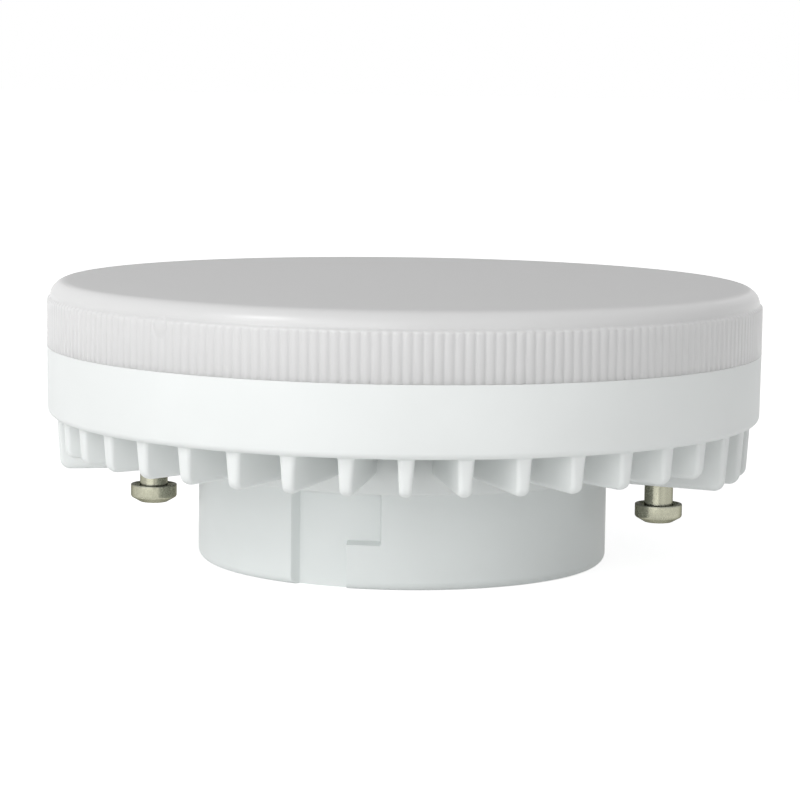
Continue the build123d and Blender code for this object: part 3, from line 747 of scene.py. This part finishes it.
@dataclass
class FrostedCover:
    """The diffuser: a crowned cover whose side carries a ring of rounded, ball-ended reeds."""

    outer_r: float = 36.5
    seam_z: float = 21.85
    side_r: float = 36.36
    ledge_z: float = 26.62
    shoulder_r: float = 36.19
    shoulder_z: float = 26.93
    rim_r: float = 34.34
    rim_z: float = 28.54
    top_z: float = 29.55
    wall: float = 1.3
    skirt_r: float = 34.6
    skirt_bore_r: float = 33.4
    skirt_z: float = 19.6
    snap: float = 0.3
    reeds: int = 240
    columns_a_reed: int = 8
    reed_end_z: float = 26.38
    valley: float = 0.05
    edge: float = 0.015
    gate_angle: float = -118.8
    gate_z: float = 26.15
    gate_w: float = 1.5
    gate_h: float = 2.0
    gate_clear: float = 0.3
    zone_top: float = 27.25
    crown_start: float = 0.24
    inner_corner: float = 1.85
    finish: FrostedPlastic = FrostedPlastic(
        "frosted_diffuser", srgb(221, 221, 221), srgb(218, 218, 218)
    )

    def skin_radius(self, heights: np.ndarray) -> np.ndarray:
        """Radius between the reeds: upright, a ledge s s (3 - 2 s), then a quarter ellipse."""
        rise = ((heights - self.shoulder_z) / (self.rim_z - self.shoulder_z)).clip(0, 1)
        share = ((self.shoulder_z - heights) / (self.shoulder_z - self.ledge_z)).clip(0, 1)
        ledge = (self.side_r - self.shoulder_r) * share * share * (3 - 2 * share)
        return self.rim_r + (self.shoulder_r - self.rim_r) * np.sqrt(1 - rise**2) + ledge

    def reeded_zone(self) -> np.ndarray:
        """Grid of the reeded side and the foot of the shoulder.

        A reed has a circular section and its upper end is a ball: it stands
        q = sqrt(c^2 - x^2 - h^2) - (c - d) above the skin, for the ball's radius c, the reed's
        height d, the distance x from the reed's middle and the height h above the ball's centre.
        The skin between takes over where q falls below zero, by (q + sqrt(q^2 + v^2)) / 2, which
        rounds the valley. The gate's mark is a low oval dome, rise times sqrt(1 - o^2) for the
        distance o from its middle, and the reeds end round it.

        Returns:
            Points as (rows, columns, 3).
        """
        heights = np.concatenate(
            [
                self.seam_z + self.edge * np.array([0.0, 0.4, 1.0]),
                np.linspace(25.0, self.reed_end_z, 7),
                self.reed_end_z + np.linspace(0.05, 0.55, 11),
                self.zone_top - np.array([0.2, 0.1, 0.0]),
            ]
        )[:, None]
        angles = ring_angles(self.reeds * self.columns_a_reed)[None, :]
        pitch = 2 * np.pi / self.reeds
        half = self.outer_r * pitch / 2
        rise = self.outer_r - self.side_r
        ball = (half**2 + rise**2) / (2 * rise)
        across = ((angles / pitch + 0.5) % 1 - 0.5) * 2 * half
        above = (heights - self.reed_end_z).clip(0)
        proud = np.sqrt((ball**2 - across**2 - above**2).clip(0)) - (ball - rise)
        proud = (proud + np.sqrt(proud**2 + self.valley**2)) / 2
        turn = np.angle(np.exp(1j * (angles - math.radians(self.gate_angle)))) * self.outer_r
        oval = np.hypot(turn / (self.gate_w / 2), (heights - self.gate_z) / (self.gate_h / 2))
        pad = ((1 + self.gate_clear - oval) / self.gate_clear).clip(0, 1)
        pad = pad * pad * (3 - 2 * pad)
        dome = np.sqrt((1 - oval**2).clip(0)) * rise
        foot = self.edge * (1 - ((heights - self.seam_z) / self.edge).clip(0, 1)) ** 2
        radius = self.skin_radius(heights) + proud * (1 - pad) + dome - foot
        radius = radius.clip(0, self.outer_r)
        grid = np.stack([radius, np.broadcast_to(heights, radius.shape)], axis=-1)
        return turned(grid, angles)

    def foot_path(self) -> np.ndarray:
        """Section of the skirt, its snap ridge and the ledge that lies on the band."""
        snap_z = (self.skirt_z + self.seam_z) / 2
        return rounded_path(
            [
                (self.skirt_bore_r, self.skirt_z, 0),
                (self.skirt_r, self.skirt_z, 0.15),
                (self.skirt_r, snap_z - self.snap, 0),
                (self.skirt_r + self.snap, snap_z, 0.1),
                (self.skirt_r, snap_z + self.snap, 0),
                (self.skirt_r, self.seam_z, 0),
                (self.shoulder_r - 2 * self.edge, self.seam_z, 0),
            ],
            steps=3,
        )

    def crown_path(self) -> np.ndarray:
        """Section from the shoulder over the rim to the pole: the ellipse, then a shallow arc."""
        lift = np.sin(np.linspace(self.crown_start, np.pi / 2, 14))
        heights = self.shoulder_z + (self.rim_z - self.shoulder_z) * lift
        shoulder = np.stack([self.skin_radius(heights), heights], axis=1)
        reach = np.linspace(1, 0, 16)[1:] * self.rim_r
        crown = self.rim_z + (self.top_z - self.rim_z) * (1 - (reach / self.rim_r) ** 2)
        return np.concatenate([shoulder, np.stack([reach, crown], axis=1)])

    def inside_path(self) -> np.ndarray:
        """Section of the inner side from its pole down to the skirt's foot."""
        reach = np.linspace(0, 1, 10) * (self.skirt_bore_r - self.inner_corner)
        under = self.rim_z - self.wall + (self.top_z - self.rim_z) * (1 - (reach / reach[-1]) ** 2)
        turn = np.linspace(np.pi / 2, 0, 8)[1:]
        corner = np.stack(
            [
                self.skirt_bore_r - self.inner_corner * (1 - np.cos(turn)),
                self.shoulder_z - self.wall + self.inner_corner * np.sin(turn),
            ],
            axis=1,
        )
        return np.concatenate([np.stack([reach, under], axis=1), corner])

    def build(self) -> bpy.types.Object:
        """Builds the cover as one closed shell and dresses it.

        Returns:
            The cover's object.
        """
        shell = Shell("frosted_cover")
        coarse = ring_angles(self.reeds)
        foot = shell.place(turned(self.foot_path(), coarse))
        fine = shell.place(self.reeded_zone())
        crown_path, inside_path = self.crown_path(), self.inside_path()
        crown = shell.place(turned(crown_path[:-1], coarse))
        inside = shell.place(turned(inside_path[1:], coarse))
        shell.weave(foot)
        shell.stitch(foot[-1], fine[0], coarse_below=True)
        shell.weave(fine)
        shell.stitch(crown[0], fine[-1], coarse_below=False)
        shell.weave(crown)
        shell.close(crown[-1], (0, 0, crown_path[-1, 1]), ring_below=True)
        shell.close(inside[0], (0, 0, inside_path[0, 1]), ring_below=False)
        shell.weave(inside)
        shell.weave(np.stack([inside[-1], foot[0]]))
        made = shell.build(crease=50)
        dress(made, self.finish, "diffuser")
        return made


@dataclass
class FinnedHousing:
    """The housing: band, flange, collar, ring of drafted cooling fins, pin bosses and pillars."""

    outer_r: float = 36.5
    band_foot_r: float = 36.42
    seam_z: float = 21.85
    flange_z: float = 14.9
    flange_top: float = 16.4
    band_bore_r: float = 34.7
    seat_r: float = 33.2
    seat_z: float = 18.0
    groove_r: float = 35.0
    groove_z: float = 20.72
    collar_r: float = 21.25
    collar_bore_r: float = 19.85
    collar_z: float = 9.4
    catch_z: float = 12.0
    catch: float = 0.3
    band_corner: float = 0.7
    fins: int = 40
    fin_phase: float = 1.5
    fin_root_r: float = 20.55
    fin_tip_r: float = 35.5
    fin_z: float = 11.2
    fin_t: float = 1.6
    fin_draft: float = 3.3
    fin_tip_corner: float = 0.45
    fin_foot_corner: float = 0.45
    fin_foot_round: float = 1.0
    deep_fins: int = 2
    fin_lap: float = 0.2
    fin_fillet: float = 0.2
    buried: float = 0.4
    path_start_z: float = 10.5
    pin_x: float = 26.5
    boss_r: float = 3.1
    boss_bore_r: float = 1.15
    pillar_r: float = 2.2
    pillar_bore_r: float = 1.23
    pillar_ring_r: float = 25.0
    finish: MouldedPlastic = MouldedPlastic(
        "white_housing", srgb(240, 243, 242), srgb(237, 240, 239), 0.5
    )

    def section(self) -> np.ndarray:
        """Closed section of the turned body: collar, flange, band, seat and catch groove."""
        return rounded_path(
            [
                (self.collar_bore_r, self.path_start_z, 0),
                (self.collar_bore_r, self.collar_z, 0.1),
                (self.collar_r, self.collar_z, 0.22),
                (self.collar_r, self.flange_z, 0.35),
                (self.band_foot_r, self.flange_z, self.band_corner),
                (self.outer_r - 0.01, self.seam_z, 0.02),
                (self.band_bore_r, self.seam_z, 0.1),
                (self.band_bore_r, self.groove_z + 0.3, 0),
                (self.groove_r, self.groove_z, 0),
                (self.band_bore_r, self.groove_z - 0.3, 0),
                (self.band_bore_r, self.seat_z, 0.1),
                (self.seat_r, self.seat_z, 0.1),
                (self.seat_r, self.flange_top, 0.2),
                (self.collar_bore_r, self.flange_top, 0.1),
                (self.collar_bore_r, self.catch_z + self.catch, 0),
                (self.collar_bore_r + self.catch, self.catch_z, 0),
                (self.collar_bore_r, self.catch_z - self.catch, 0),
                (self.collar_bore_r, self.path_start_z, 0),
            ],
            steps=5,
        )

    def fin_levels(self, foot_z: float) -> np.ndarray:
        """Height and insets of each outline of a fin, from its foot up to the flange.

        The foot's outer end is an arc of radius R, with height R (1 - cos t) and inset
        R (1 - sin t); its long edges are arcs of a smaller radius r, inset by
        r - sqrt(r^2 - (r - h)^2) at height h. Both add the height below the flange times
        tan(draft), and flare a little where the fin meets the flange.

        Args:
            foot_z: Height of the fin's lower edge.

        Returns:
            Rows of height, inset of the sides and inset of the outer end.
        """
        lean = math.tan(math.radians(self.fin_draft))
        turn = np.linspace(0, np.pi / 2, 9)
        height = self.fin_foot_round * (1 - np.cos(turn))
        corner = self.fin_foot_corner
        side = corner - np.sqrt(corner**2 - (corner - height.clip(0, corner)) ** 2)
        drafted = (self.flange_z - foot_z - height) * lean
        end = self.fin_foot_round * (1 - np.sin(turn)) + drafted
        foot = [foot_z + height, side + drafted, end]
        rise = np.linspace(0, np.pi / 2, 5)
        flare = -self.fin_fillet * (1 - np.cos(rise))
        top = [self.flange_z - self.fin_fillet * (1 - np.sin(rise)), flare, flare]
        buried = np.array([[self.flange_z + self.buried, -self.fin_fillet, -self.fin_fillet]])
        return np.concatenate([np.stack(foot, axis=1), np.stack(top, axis=1), buried])

    def fin_grid(
        self, places: np.ndarray, foot_z: float, root_r: float, tip_r: float
    ) -> np.ndarray:
        """Outlines of fins: long tongues with round-cornered tips, inset level by level.

        Args:
            places: Which of the evenly spaced places have such a fin; 0 is by the right pin.
            foot_z: Height of their lower edges.
            root_r: Radius at which they begin.
            tip_r: Radius at which they end, under the flange.

        Returns:
            Points as (fins, levels, outline, 3).
        """
        levels = self.fin_levels(foot_z)
        turn = np.linspace(-np.pi / 2, 0, 7)
        side = self.fin_t / 2 - levels[:, 1:2]
        corner = np.minimum(self.fin_tip_corner, side)
        round_x = tip_r - levels[:, 2:3] - corner * (1 - np.cos(turn))
        round_y = corner * (1 + np.sin(turn)) - side
        root = np.full_like(side, root_r)
        outline_x = np.concatenate([root, round_x, round_x[:, ::-1], root], axis=1)
        outline_y = np.concatenate([-side, round_y, -round_y[:, ::-1], side], axis=1)
        height = np.broadcast_to(levels[:, :1], outline_x.shape)
        degrees = places * 360 / self.fins + self.fin_phase
        angles = np.radians(degrees)[:, None, None]
        return np.stack(
            [
                outline_x * np.cos(angles) - outline_y * np.sin(angles),
                outline_x * np.sin(angles) + outline_y * np.cos(angles),
                np.broadcast_to(height, (len(places), *height.shape)),
            ],
            axis=-1,
        )

    def add_fins(self, shell: Shell) -> None:
        """Adds the fins as closed shells, whose foot and top are strips between their two sides.

        The fins by the two pins reach down as far as the collar. The middle one of them does so
        only outside the pin's boss.
        """
        places = np.arange(self.fins)
        away = np.abs((places + self.fins // 4) % (self.fins // 2) - self.fins // 4)
        boss_edge = self.pin_x + self.boss_r
        plain, deep, split = away > self.deep_fins, (away > 0) & (away <= self.deep_fins), away == 0
        for which, foot_z, root_r, tip_r in (
            (plain, self.fin_z, self.fin_root_r, self.fin_tip_r),
            (deep, self.collar_z, self.fin_root_r, self.fin_tip_r),
            (split, self.fin_z, self.fin_root_r, boss_edge),
            (split, self.collar_z, boss_edge - self.fin_lap, self.fin_tip_r),
        ):
            numbers = shell.place(self.fin_grid(places[which], foot_z, root_r, tip_r))
            shell.weave(numbers)
            half = numbers.shape[-1] // 2
            near, far = numbers[..., :half], numbers[..., ::-1][..., :half]
            shell.weave(np.stack([far[:, 0], near[:, 0]], axis=1), close_columns=False)
            shell.weave(np.stack([near[:, -1], far[:, -1]], axis=1), close_columns=False)

    def sleeve(
        self, bore: float, radius: float, low: float, high: float, corner: float
    ) -> np.ndarray:
        """Closed section of a short tube with a rounded outer foot."""
        return rounded_path(
            [
                (bore, (low + high) / 2, 0),
                (bore, low, 0.05),
                (radius, low, corner),
                (radius, high, 0.05),
                (bore, high, 0.05),
                (bore, (low + high) / 2, 0),
            ],
            steps=4,
        )

    def build(self) -> bpy.types.Object:
        """Builds the housing and dresses it.

        Returns:
            The housing's object.
        """
        shell = Shell("finned_housing")
        shell.lathe(self.section(), 480, closed=True)
        self.add_fins(shell)
        boss = self.sleeve(
            self.boss_bore_r, self.boss_r, self.fin_z, self.flange_z + self.buried, 0.3
        )
        for sign in (-1, 1):
            shell.lathe(boss, 64, (sign * self.pin_x, 0), closed=True)
        pillar = self.sleeve(
            self.pillar_bore_r, self.pillar_r, self.flange_top - self.buried, self.seat_z, 0.05
        )
        for degrees in (90, 210, 330):
            angle = math.radians(degrees)
            centre = (self.pillar_ring_r * math.cos(angle), self.pillar_ring_r * math.sin(angle))
            shell.lathe(pillar, 32, centre, closed=True)
        made = shell.build(crease=35)
        dress(made, self.finish, "housing")
        return made


@dataclass
class SlottedCap:
    """The base cap: a round boss with two bayonet slots, a shelf for the board and a spigot."""

    boss_r: float = 21.0
    height: float = 9.4
    edge: float = 0.9
    floor: float = 1.8
    shelf_z: float = 4.2
    shelf_r: float = 17.25
    bore_r: float = 18.35
    spigot_r: float = 19.75
    spigot_top: float = 13.2
    catch_z: float = 12.0
    catch: float = 0.3
    slot_depth: float = 1.2
    slot_angle: float = -110.6
    entry_sweep: float = 15.5
    slot_sweep: float = 24.8
    ledge_z: float = 4.55
    soften: float = 0.3
    foot_rings: tuple[float, float] = (12.0, 19.2)
    side_start_z: float = 3.6
    side_rings: tuple[float, float] = (6.2, 7.8)
    column_step: float = 1.5
    column_gap: float = 0.4
    post_ring_r: float = 15.0
    post_r: float = 2.0
    post_bore_r: float = 0.93
    post_start_z: float = 3.0
    post_sunk: float = 0.3
    finish: MouldedPlastic = MouldedPlastic(
        "white_cap", srgb(236, 240, 239), srgb(233, 237, 236), 0.45
    )

    def columns(self) -> np.ndarray:
        """Angles of the columns: even steps, with close ones at the slots' upright edges."""
        near = np.degrees(np.linspace(-0.5, 0.5, 7) * self.soften / self.boss_r)
        starts = np.array([0, 180]) + self.slot_angle
        sweeps = np.array([0, self.entry_sweep, self.slot_sweep])
        edges = (starts[:, None, None] + sweeps[:, None] + near).ravel() % 360
        even = np.arange(0, 360, self.column_step)
        clear = np.abs((even[:, None] - edges + 180) % 360 - 180).min(1) > self.column_gap
        return np.radians(np.sort(np.concatenate([even[clear], edges])))

    def outside_path(self) -> np.ndarray:
        """Section of the outside, from the bottom's centre up to the seam with the collar."""
        rings = [(radius, 0, 0) for radius in (0, *self.foot_rings)]
        edge = [(self.boss_r, 0, self.edge), (self.boss_r, self.side_start_z, 0)]
        lower = rounded_path(rings + edge, steps=10)
        near = np.linspace(-0.5, 0.5, 7) * self.soften
        upper = np.concatenate([self.ledge_z + near, [*self.side_rings, self.height]])
        return np.concatenate([lower, np.stack([np.full_like(upper, self.boss_r), upper], axis=1)])

    def slot_share(self, angles: np.ndarray, heights: np.ndarray) -> np.ndarray:
        """How deep the slots are at each place, from 0 to 1.

        Each edge is a smooth step s s (3 - 2 s) over a short way; the entry is the product of its
        two edges, and the pocket that of its two edges and the ledge's. The deeper one counts.

        Args:
            angles: Angle of each column, in radians.
            heights: Height of each row.

        Returns:
            Shares as (rows, columns).
        """

        def step(distance: np.ndarray) -> np.ndarray:
            """Smooth step over the softened edge."""
            share = (distance / self.soften + 0.5).clip(0, 1)
            return share * share * (3 - 2 * share)

        def turn(angle: float) -> np.ndarray:
            """Distance round the boss past an angle, alike for slots half a turn apart."""
            past = (np.degrees(angles) - self.slot_angle + 90) % 180 - 90 - angle
            return np.radians(past)[None, :] * self.boss_r

        after = step(turn(0))
        entry = after * step(-turn(self.entry_sweep))
        pocket = after * step(-turn(self.slot_sweep)) * step(heights - self.ledge_z)[:, None]
        return np.maximum(entry * np.ones_like(pocket), pocket)

    def inside_path(self) -> np.ndarray:
        """Section from the seam over the spigot and down the bore to the floor's centre."""
        return rounded_path(
            [
                (self.boss_r, self.height, 0),
                (self.spigot_r, self.height, 0),
                (self.spigot_r, self.catch_z - self.catch, 0),
                (self.spigot_r + self.catch, self.catch_z, 0.1),
                (self.spigot_r, self.catch_z + self.catch, 0),
                (self.spigot_r, self.spigot_top, 0.2),
                (self.bore_r, self.spigot_top, 0.15),
                (self.bore_r, self.shelf_z, 0.1),
                (self.shelf_r, self.shelf_z, 0.1),
                (self.shelf_r, self.floor, 0.2),
                (0, self.floor, 0),
            ],
            steps=3,
        )[1:]

    def build(self) -> bpy.types.Object:
        """Builds the cap and dresses it.

        Returns:
            The cap's object.
        """
        shell = Shell("slotted_cap")
        angles = self.columns()
        outside, inside = self.outside_path()[1:], self.inside_path()
        share = self.slot_share(angles, outside[:, 1])
        radius = np.minimum(outside[:, :1], self.boss_r - self.slot_depth * share)
        height = np.broadcast_to(outside[:, 1:], radius.shape)
        outer = shell.place(turned(np.stack([radius, height], axis=-1), angles))
        inner = shell.place(turned(inside[:-1], angles))
        shell.close(outer[0], (0, 0, 0), ring_below=False)
        shell.weave(np.concatenate([outer, inner]))
        shell.close(inner[-1], (0, 0, self.floor), ring_below=True)
        post = rounded_path(
            [
                (self.post_bore_r, self.post_start_z, 0),
                (self.post_bore_r, self.floor - self.post_sunk, 0),
                (self.post_r, self.floor - self.post_sunk, 0),
                (self.post_r, self.shelf_z, 0.1),
                (self.post_bore_r, self.shelf_z, 0.05),
                (self.post_bore_r, self.post_start_z, 0),
            ],
            steps=3,
        )
        for sign in (-1, 1):
            shell.lathe(post, 32, (0, sign * self.post_ring_r), closed=True)
        made = shell.build(crease=42)
        dress(made, self.finish, "base_cap")
        return made


@dataclass
class ContactPins:
    """The two turned contact pins: broad heads on necks, riveted over inside the housing."""

    pin_x: float = 26.5
    head_r: float = 2.4
    head_z: float = 4.6
    neck_r: float = 1.45
    neck_z: float = 6.5
    dish: float = 0.3
    bevel_w: float = 1.0
    bevel_h: float = 0.58
    fin_z: float = 11.2
    spigot_r: float = 1.1
    tag_top: float = 16.8
    rivet_r: float = 1.9
    rivet_top: float = 17.4
    # The third colour is a painted dark reflection on the head's top ring, from 6.3 to 6.5 mm; the
    # neck above takes painted shade.
    finish: PlatedMetal = PlatedMetal(
        "nickel_pins", srgb(190, 189, 168), srgb(146, 146, 132), srgb(152, 152, 140), 6.3, 6.5
    )

    def section(self) -> np.ndarray:
        """Section of a pin from its lower end to its rivet, with every edge broken."""
        return rounded_path(
            [
                (0, self.head_z, 0),
                (self.head_r - self.bevel_w, self.head_z, 0.4),
                (self.head_r, self.head_z + self.bevel_h, 0.35),
                (self.head_r, self.neck_z, 0.1),
                (self.head_r - 0.35, self.neck_z, 0.15),
                (self.neck_r, self.neck_z - self.dish, 0.1),
                (self.neck_r, self.fin_z, 0.1),
                (self.spigot_r, self.fin_z, 0.05),
                (self.spigot_r, self.tag_top, 0.05),
                (self.rivet_r, self.tag_top, 0.1),
                (self.rivet_r, self.rivet_top, 0.3),
                (0, self.rivet_top, 0),
            ],
            steps=6,
        )

    def build(self) -> list[bpy.types.Object]:
        """Builds both pins and dresses them.

        Returns:
            The pins' objects, left and right.
        """
        made = []
        for side, sign in (("left", -1), ("right", 1)):
            shell = Shell(f"turned_pin_{side}")
            shell.lathe(self.section(), 96, (sign * self.pin_x, 0))
            pin = shell.build(crease=40)
            dress(pin, self.finish, f"contact_pin_{side}")
            made.append(pin)
        return made


@dataclass
class InsidePieces:
    """The CAD nodes that stay as they are and get a finish of their own."""

    finishes: dict[str, InsideFinish] = field(default_factory=lambda: dict(INSIDE))

    def finish_of(self, node: str) -> InsideFinish:
        """The finish whose key is the longest beginning of the node's name."""
        keys = [key for key in self.finishes if node.startswith(key)]
        return self.finishes[max(keys, key=len)]

    def build(self, nodes: dict[str, bpy.types.Object], replaced: set[str]) -> None:
        """Dresses every node that no new piece stands for.

        Args:
            nodes: The CAD nodes by name.
            replaced: Names of the nodes that new pieces stand for.
        """
        made: dict[str, bpy.types.Material] = {}
        for name in sorted(set(nodes) - replaced):
            finish = self.finish_of(name)
            if finish.name not in made:
                made[finish.name] = finish.material()
            nodes[name].data.materials.clear()
            nodes[name].data.materials.append(made[finish.name])
            LOG.info("%s keeps its solid and has the finish %s", name, finish.name)


def stand(name: str, data: bpy.types.ID, place: np.ndarray, axes: np.ndarray) -> bpy.types.Object:
    """Links a lamp or a camera.

    Args:
        name: Name of its object.
        data: The lamp or the camera.
        place: Where it stands, in metres.
        axes: Its right, up and back directions, as columns.

    Returns:
        The new object.
    """
    made = bpy.data.objects.new(name, data)
    matrix = Matrix.Identity(4)
    for column in range(3):
        matrix.col[column][:3] = axes[:, column]
    matrix.col[3][:3] = place
    made.matrix_world = matrix
    bpy.context.scene.collection.objects.link(made)
    return made


@dataclass(frozen=True)
class Viewpoint:
    """Where the photograph was taken from, in millimetres and degrees."""

    distance: float = 306.8
    elevation: float = 6.939
    aim_z: float = 15.0
    pan: float = -0.07
    tilt: float = 0.219
    roll: float = 0.749
    turn: float = 10.0
    lens: float = 133.9

    def axes(self) -> tuple[np.ndarray, np.ndarray]:
        """Camera's place, in metres, and its axes as columns: right, up and back."""
        angle, turn = math.radians(self.elevation), math.radians(self.turn)
        level = np.array([math.sin(turn), -math.cos(turn), 0])
        place = level * self.distance * math.cos(angle)
        place = place + np.array([0, 0, self.distance * math.sin(angle) + self.aim_z])
        forward = -level * math.cos(angle) - np.array([0, 0, math.sin(angle)])
        right = np.array([math.cos(turn), math.sin(turn), 0])
        up = np.cross(right, forward)
        forward = forward + math.tan(math.radians(self.pan)) * right
        forward = forward + math.tan(math.radians(self.tilt)) * up
        forward /= np.linalg.norm(forward)
        right = np.cross(forward, [0, 0, 1])
        right /= np.linalg.norm(right)
        up = np.cross(right, forward)
        roll = math.radians(self.roll)
        rolled_right = math.cos(roll) * right + math.sin(roll) * up
        rolled_up = math.cos(roll) * up - math.sin(roll) * right
        return place * MM, np.stack([rolled_right, rolled_up, -forward], axis=1)


@dataclass(frozen=True)
class Softbox:
    """A large soft lamp, placed by the direction that it shines from, as the camera sees it."""

    name: str
    azimuth: float
    elevation: float
    distance: float
    width: float
    height: float
    power: float

    def build(self, turn: float, aim: np.ndarray) -> None:
        """Adds the lamp.

        Args:
            turn: Turn of the camera about the vertical, in degrees.
            aim: The point that it shines at, in metres.
        """
        angle, rise = math.radians(self.azimuth - 90 + turn), math.radians(self.elevation)
        away = np.array(
            [math.cos(rise) * math.cos(angle), math.cos(rise) * math.sin(angle), math.sin(rise)]
        )
        side = np.cross([0, 0, 1], away)
        side /= np.linalg.norm(side)
        lamp = bpy.data.lights.new(self.name, "AREA")
        lamp.shape = "RECTANGLE"
        lamp.size, lamp.size_y = self.width, self.height
        lamp.energy = self.power
        axes = np.stack([side, np.cross(away, side), away], axis=1)
        stand(self.name, lamp, aim + away * self.distance, axes)


def seen_rays(tree: bpy.types.NodeTree) -> bpy.types.NodeSocket:
    """Signal that is one for rays that show a surface directly, mirrored or through another.

    Args:
        tree: The node tree that gets the nodes.

    Returns:
        The sum of the camera, glossy and transmission rays, held at one.
    """
    paths = tree.nodes.new("ShaderNodeLightPath")
    total = paths.outputs["Is Camera Ray"]
    for kind in ("Is Glossy Ray", "Is Transmission Ray"):
        added = tree.nodes.new("ShaderNodeMath")
        added.operation, added.use_clamp = "ADD", True
        tree.links.new(total, added.inputs[0])
        tree.links.new(paths.outputs[kind], added.inputs[1])
        total = added.outputs[0]
    return total


@dataclass
class Studio:
    """Camera, plain pale floor, white surroundings and soft lamps."""

    viewpoint: Viewpoint = Viewpoint()
    softboxes: tuple[Softbox, ...] = (
        Softbox("key_softbox", -31, 20, 1.1, 1.2, 0.8, 5.2),
        Softbox("front_softbox", 35, 4, 1.1, 0.7, 0.5, 0.42),
        Softbox("high_softbox", -52, 42, 0.9, 0.22, 0.2, 1.4),
    )
    fill: float = 0.47
    floor_white: float = 0.4
    floor_glow: float = 2.0
    floor_pale: float = 0.94
    floor_reach: float = 3000.0

    def build(self) -> None:
        """Sets the view transform and builds everything round the lamp."""
        bpy.context.scene.view_settings.view_transform = "Standard"
        self.add_camera()
        self.add_surroundings()
        self.add_floor()
        aim = np.array([0, 0, self.viewpoint.aim_z * MM])
        for softbox in self.softboxes:
            softbox.build(self.viewpoint.turn, aim)

    def add_camera(self) -> None:
        """Adds the camera and makes it the scene's."""
        place, axes = self.viewpoint.axes()
        lens = bpy.data.cameras.new("photo_camera")
        lens.lens, lens.sensor_width = self.viewpoint.lens, 36.0
        lens.clip_start, lens.clip_end = 0.01, 50.0
        bpy.context.scene.camera = stand("photo_camera", lens, place, axes)

    def add_surroundings(self) -> None:
        """Makes the world white where it is seen or mirrored, and a soft fill elsewhere."""
        world = bpy.data.worlds.new("white_surroundings")
        world.use_nodes = True
        tree = world.node_tree
        level = tree.nodes.new("ShaderNodeMapRange")
        level.inputs["To Min"].default_value = self.fill
        level.inputs["To Max"].default_value = 1.0
        tree.links.new(seen_rays(tree), level.inputs["Value"])
        background = tree.nodes["Background"]
        background.inputs["Color"].default_value = (1, 1, 1, 1)
        tree.links.new(level.outputs["Result"], background.inputs["Strength"])
        bpy.context.scene.world = world

    def add_floor(self) -> None:
        """Adds the floor: pale for all light, near white to the camera, with the shadow kept."""
        shell = Shell("pale_floor")
        across, along = np.meshgrid([-self.floor_reach, self.floor_reach], [-1, 1])
        grid = np.stack([across, along * self.floor_reach, 0 * along], axis=-1)
        shell.weave(shell.place(grid), close_columns=False)
        floor = shell.build()
        graph = Graph("pale_floor")
        graph.set(Base_Color=(self.floor_pale,) * 3, Roughness=0.9, Specular_IOR_Level=0.1)
        white = graph.node(
            "ShaderNodeEmission", inputs={"Color": (1, 1, 1), "Strength": self.floor_glow}
        )
        seen = Signal(graph, seen_rays(graph.tree)) * self.floor_white
        mixed = graph.node(
            "ShaderNodeMixShader", inputs={0: seen, 1: graph.shader.outputs[0], 2: white.outputs[0]}
        )
        graph.feed(graph.tree.nodes["Material Output"].inputs["Surface"], mixed.outputs[0])
        floor.data.materials.append(graph.material)


def main() -> None:
    """Builds and dresses the lamp piece by piece, and lights it."""
    logging.basicConfig(level=logging.INFO, format="%(name)s: %(message)s")
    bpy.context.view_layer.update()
    parts: list[Callable[[], Any]] = [
        FrostedCover().build,
        FinnedHousing().build,
        SlottedCap().build,
        ContactPins().build,
    ]
    for build in parts:
        build()
    replaced = {"diffuser", "housing", "base_cap", "contact_pin_left", "contact_pin_right"}
    InsidePieces().build(frame["nodes"], replaced)
    Studio().build()
    bpy.context.view_layer.update()


if __name__ == "__main__":
    main()
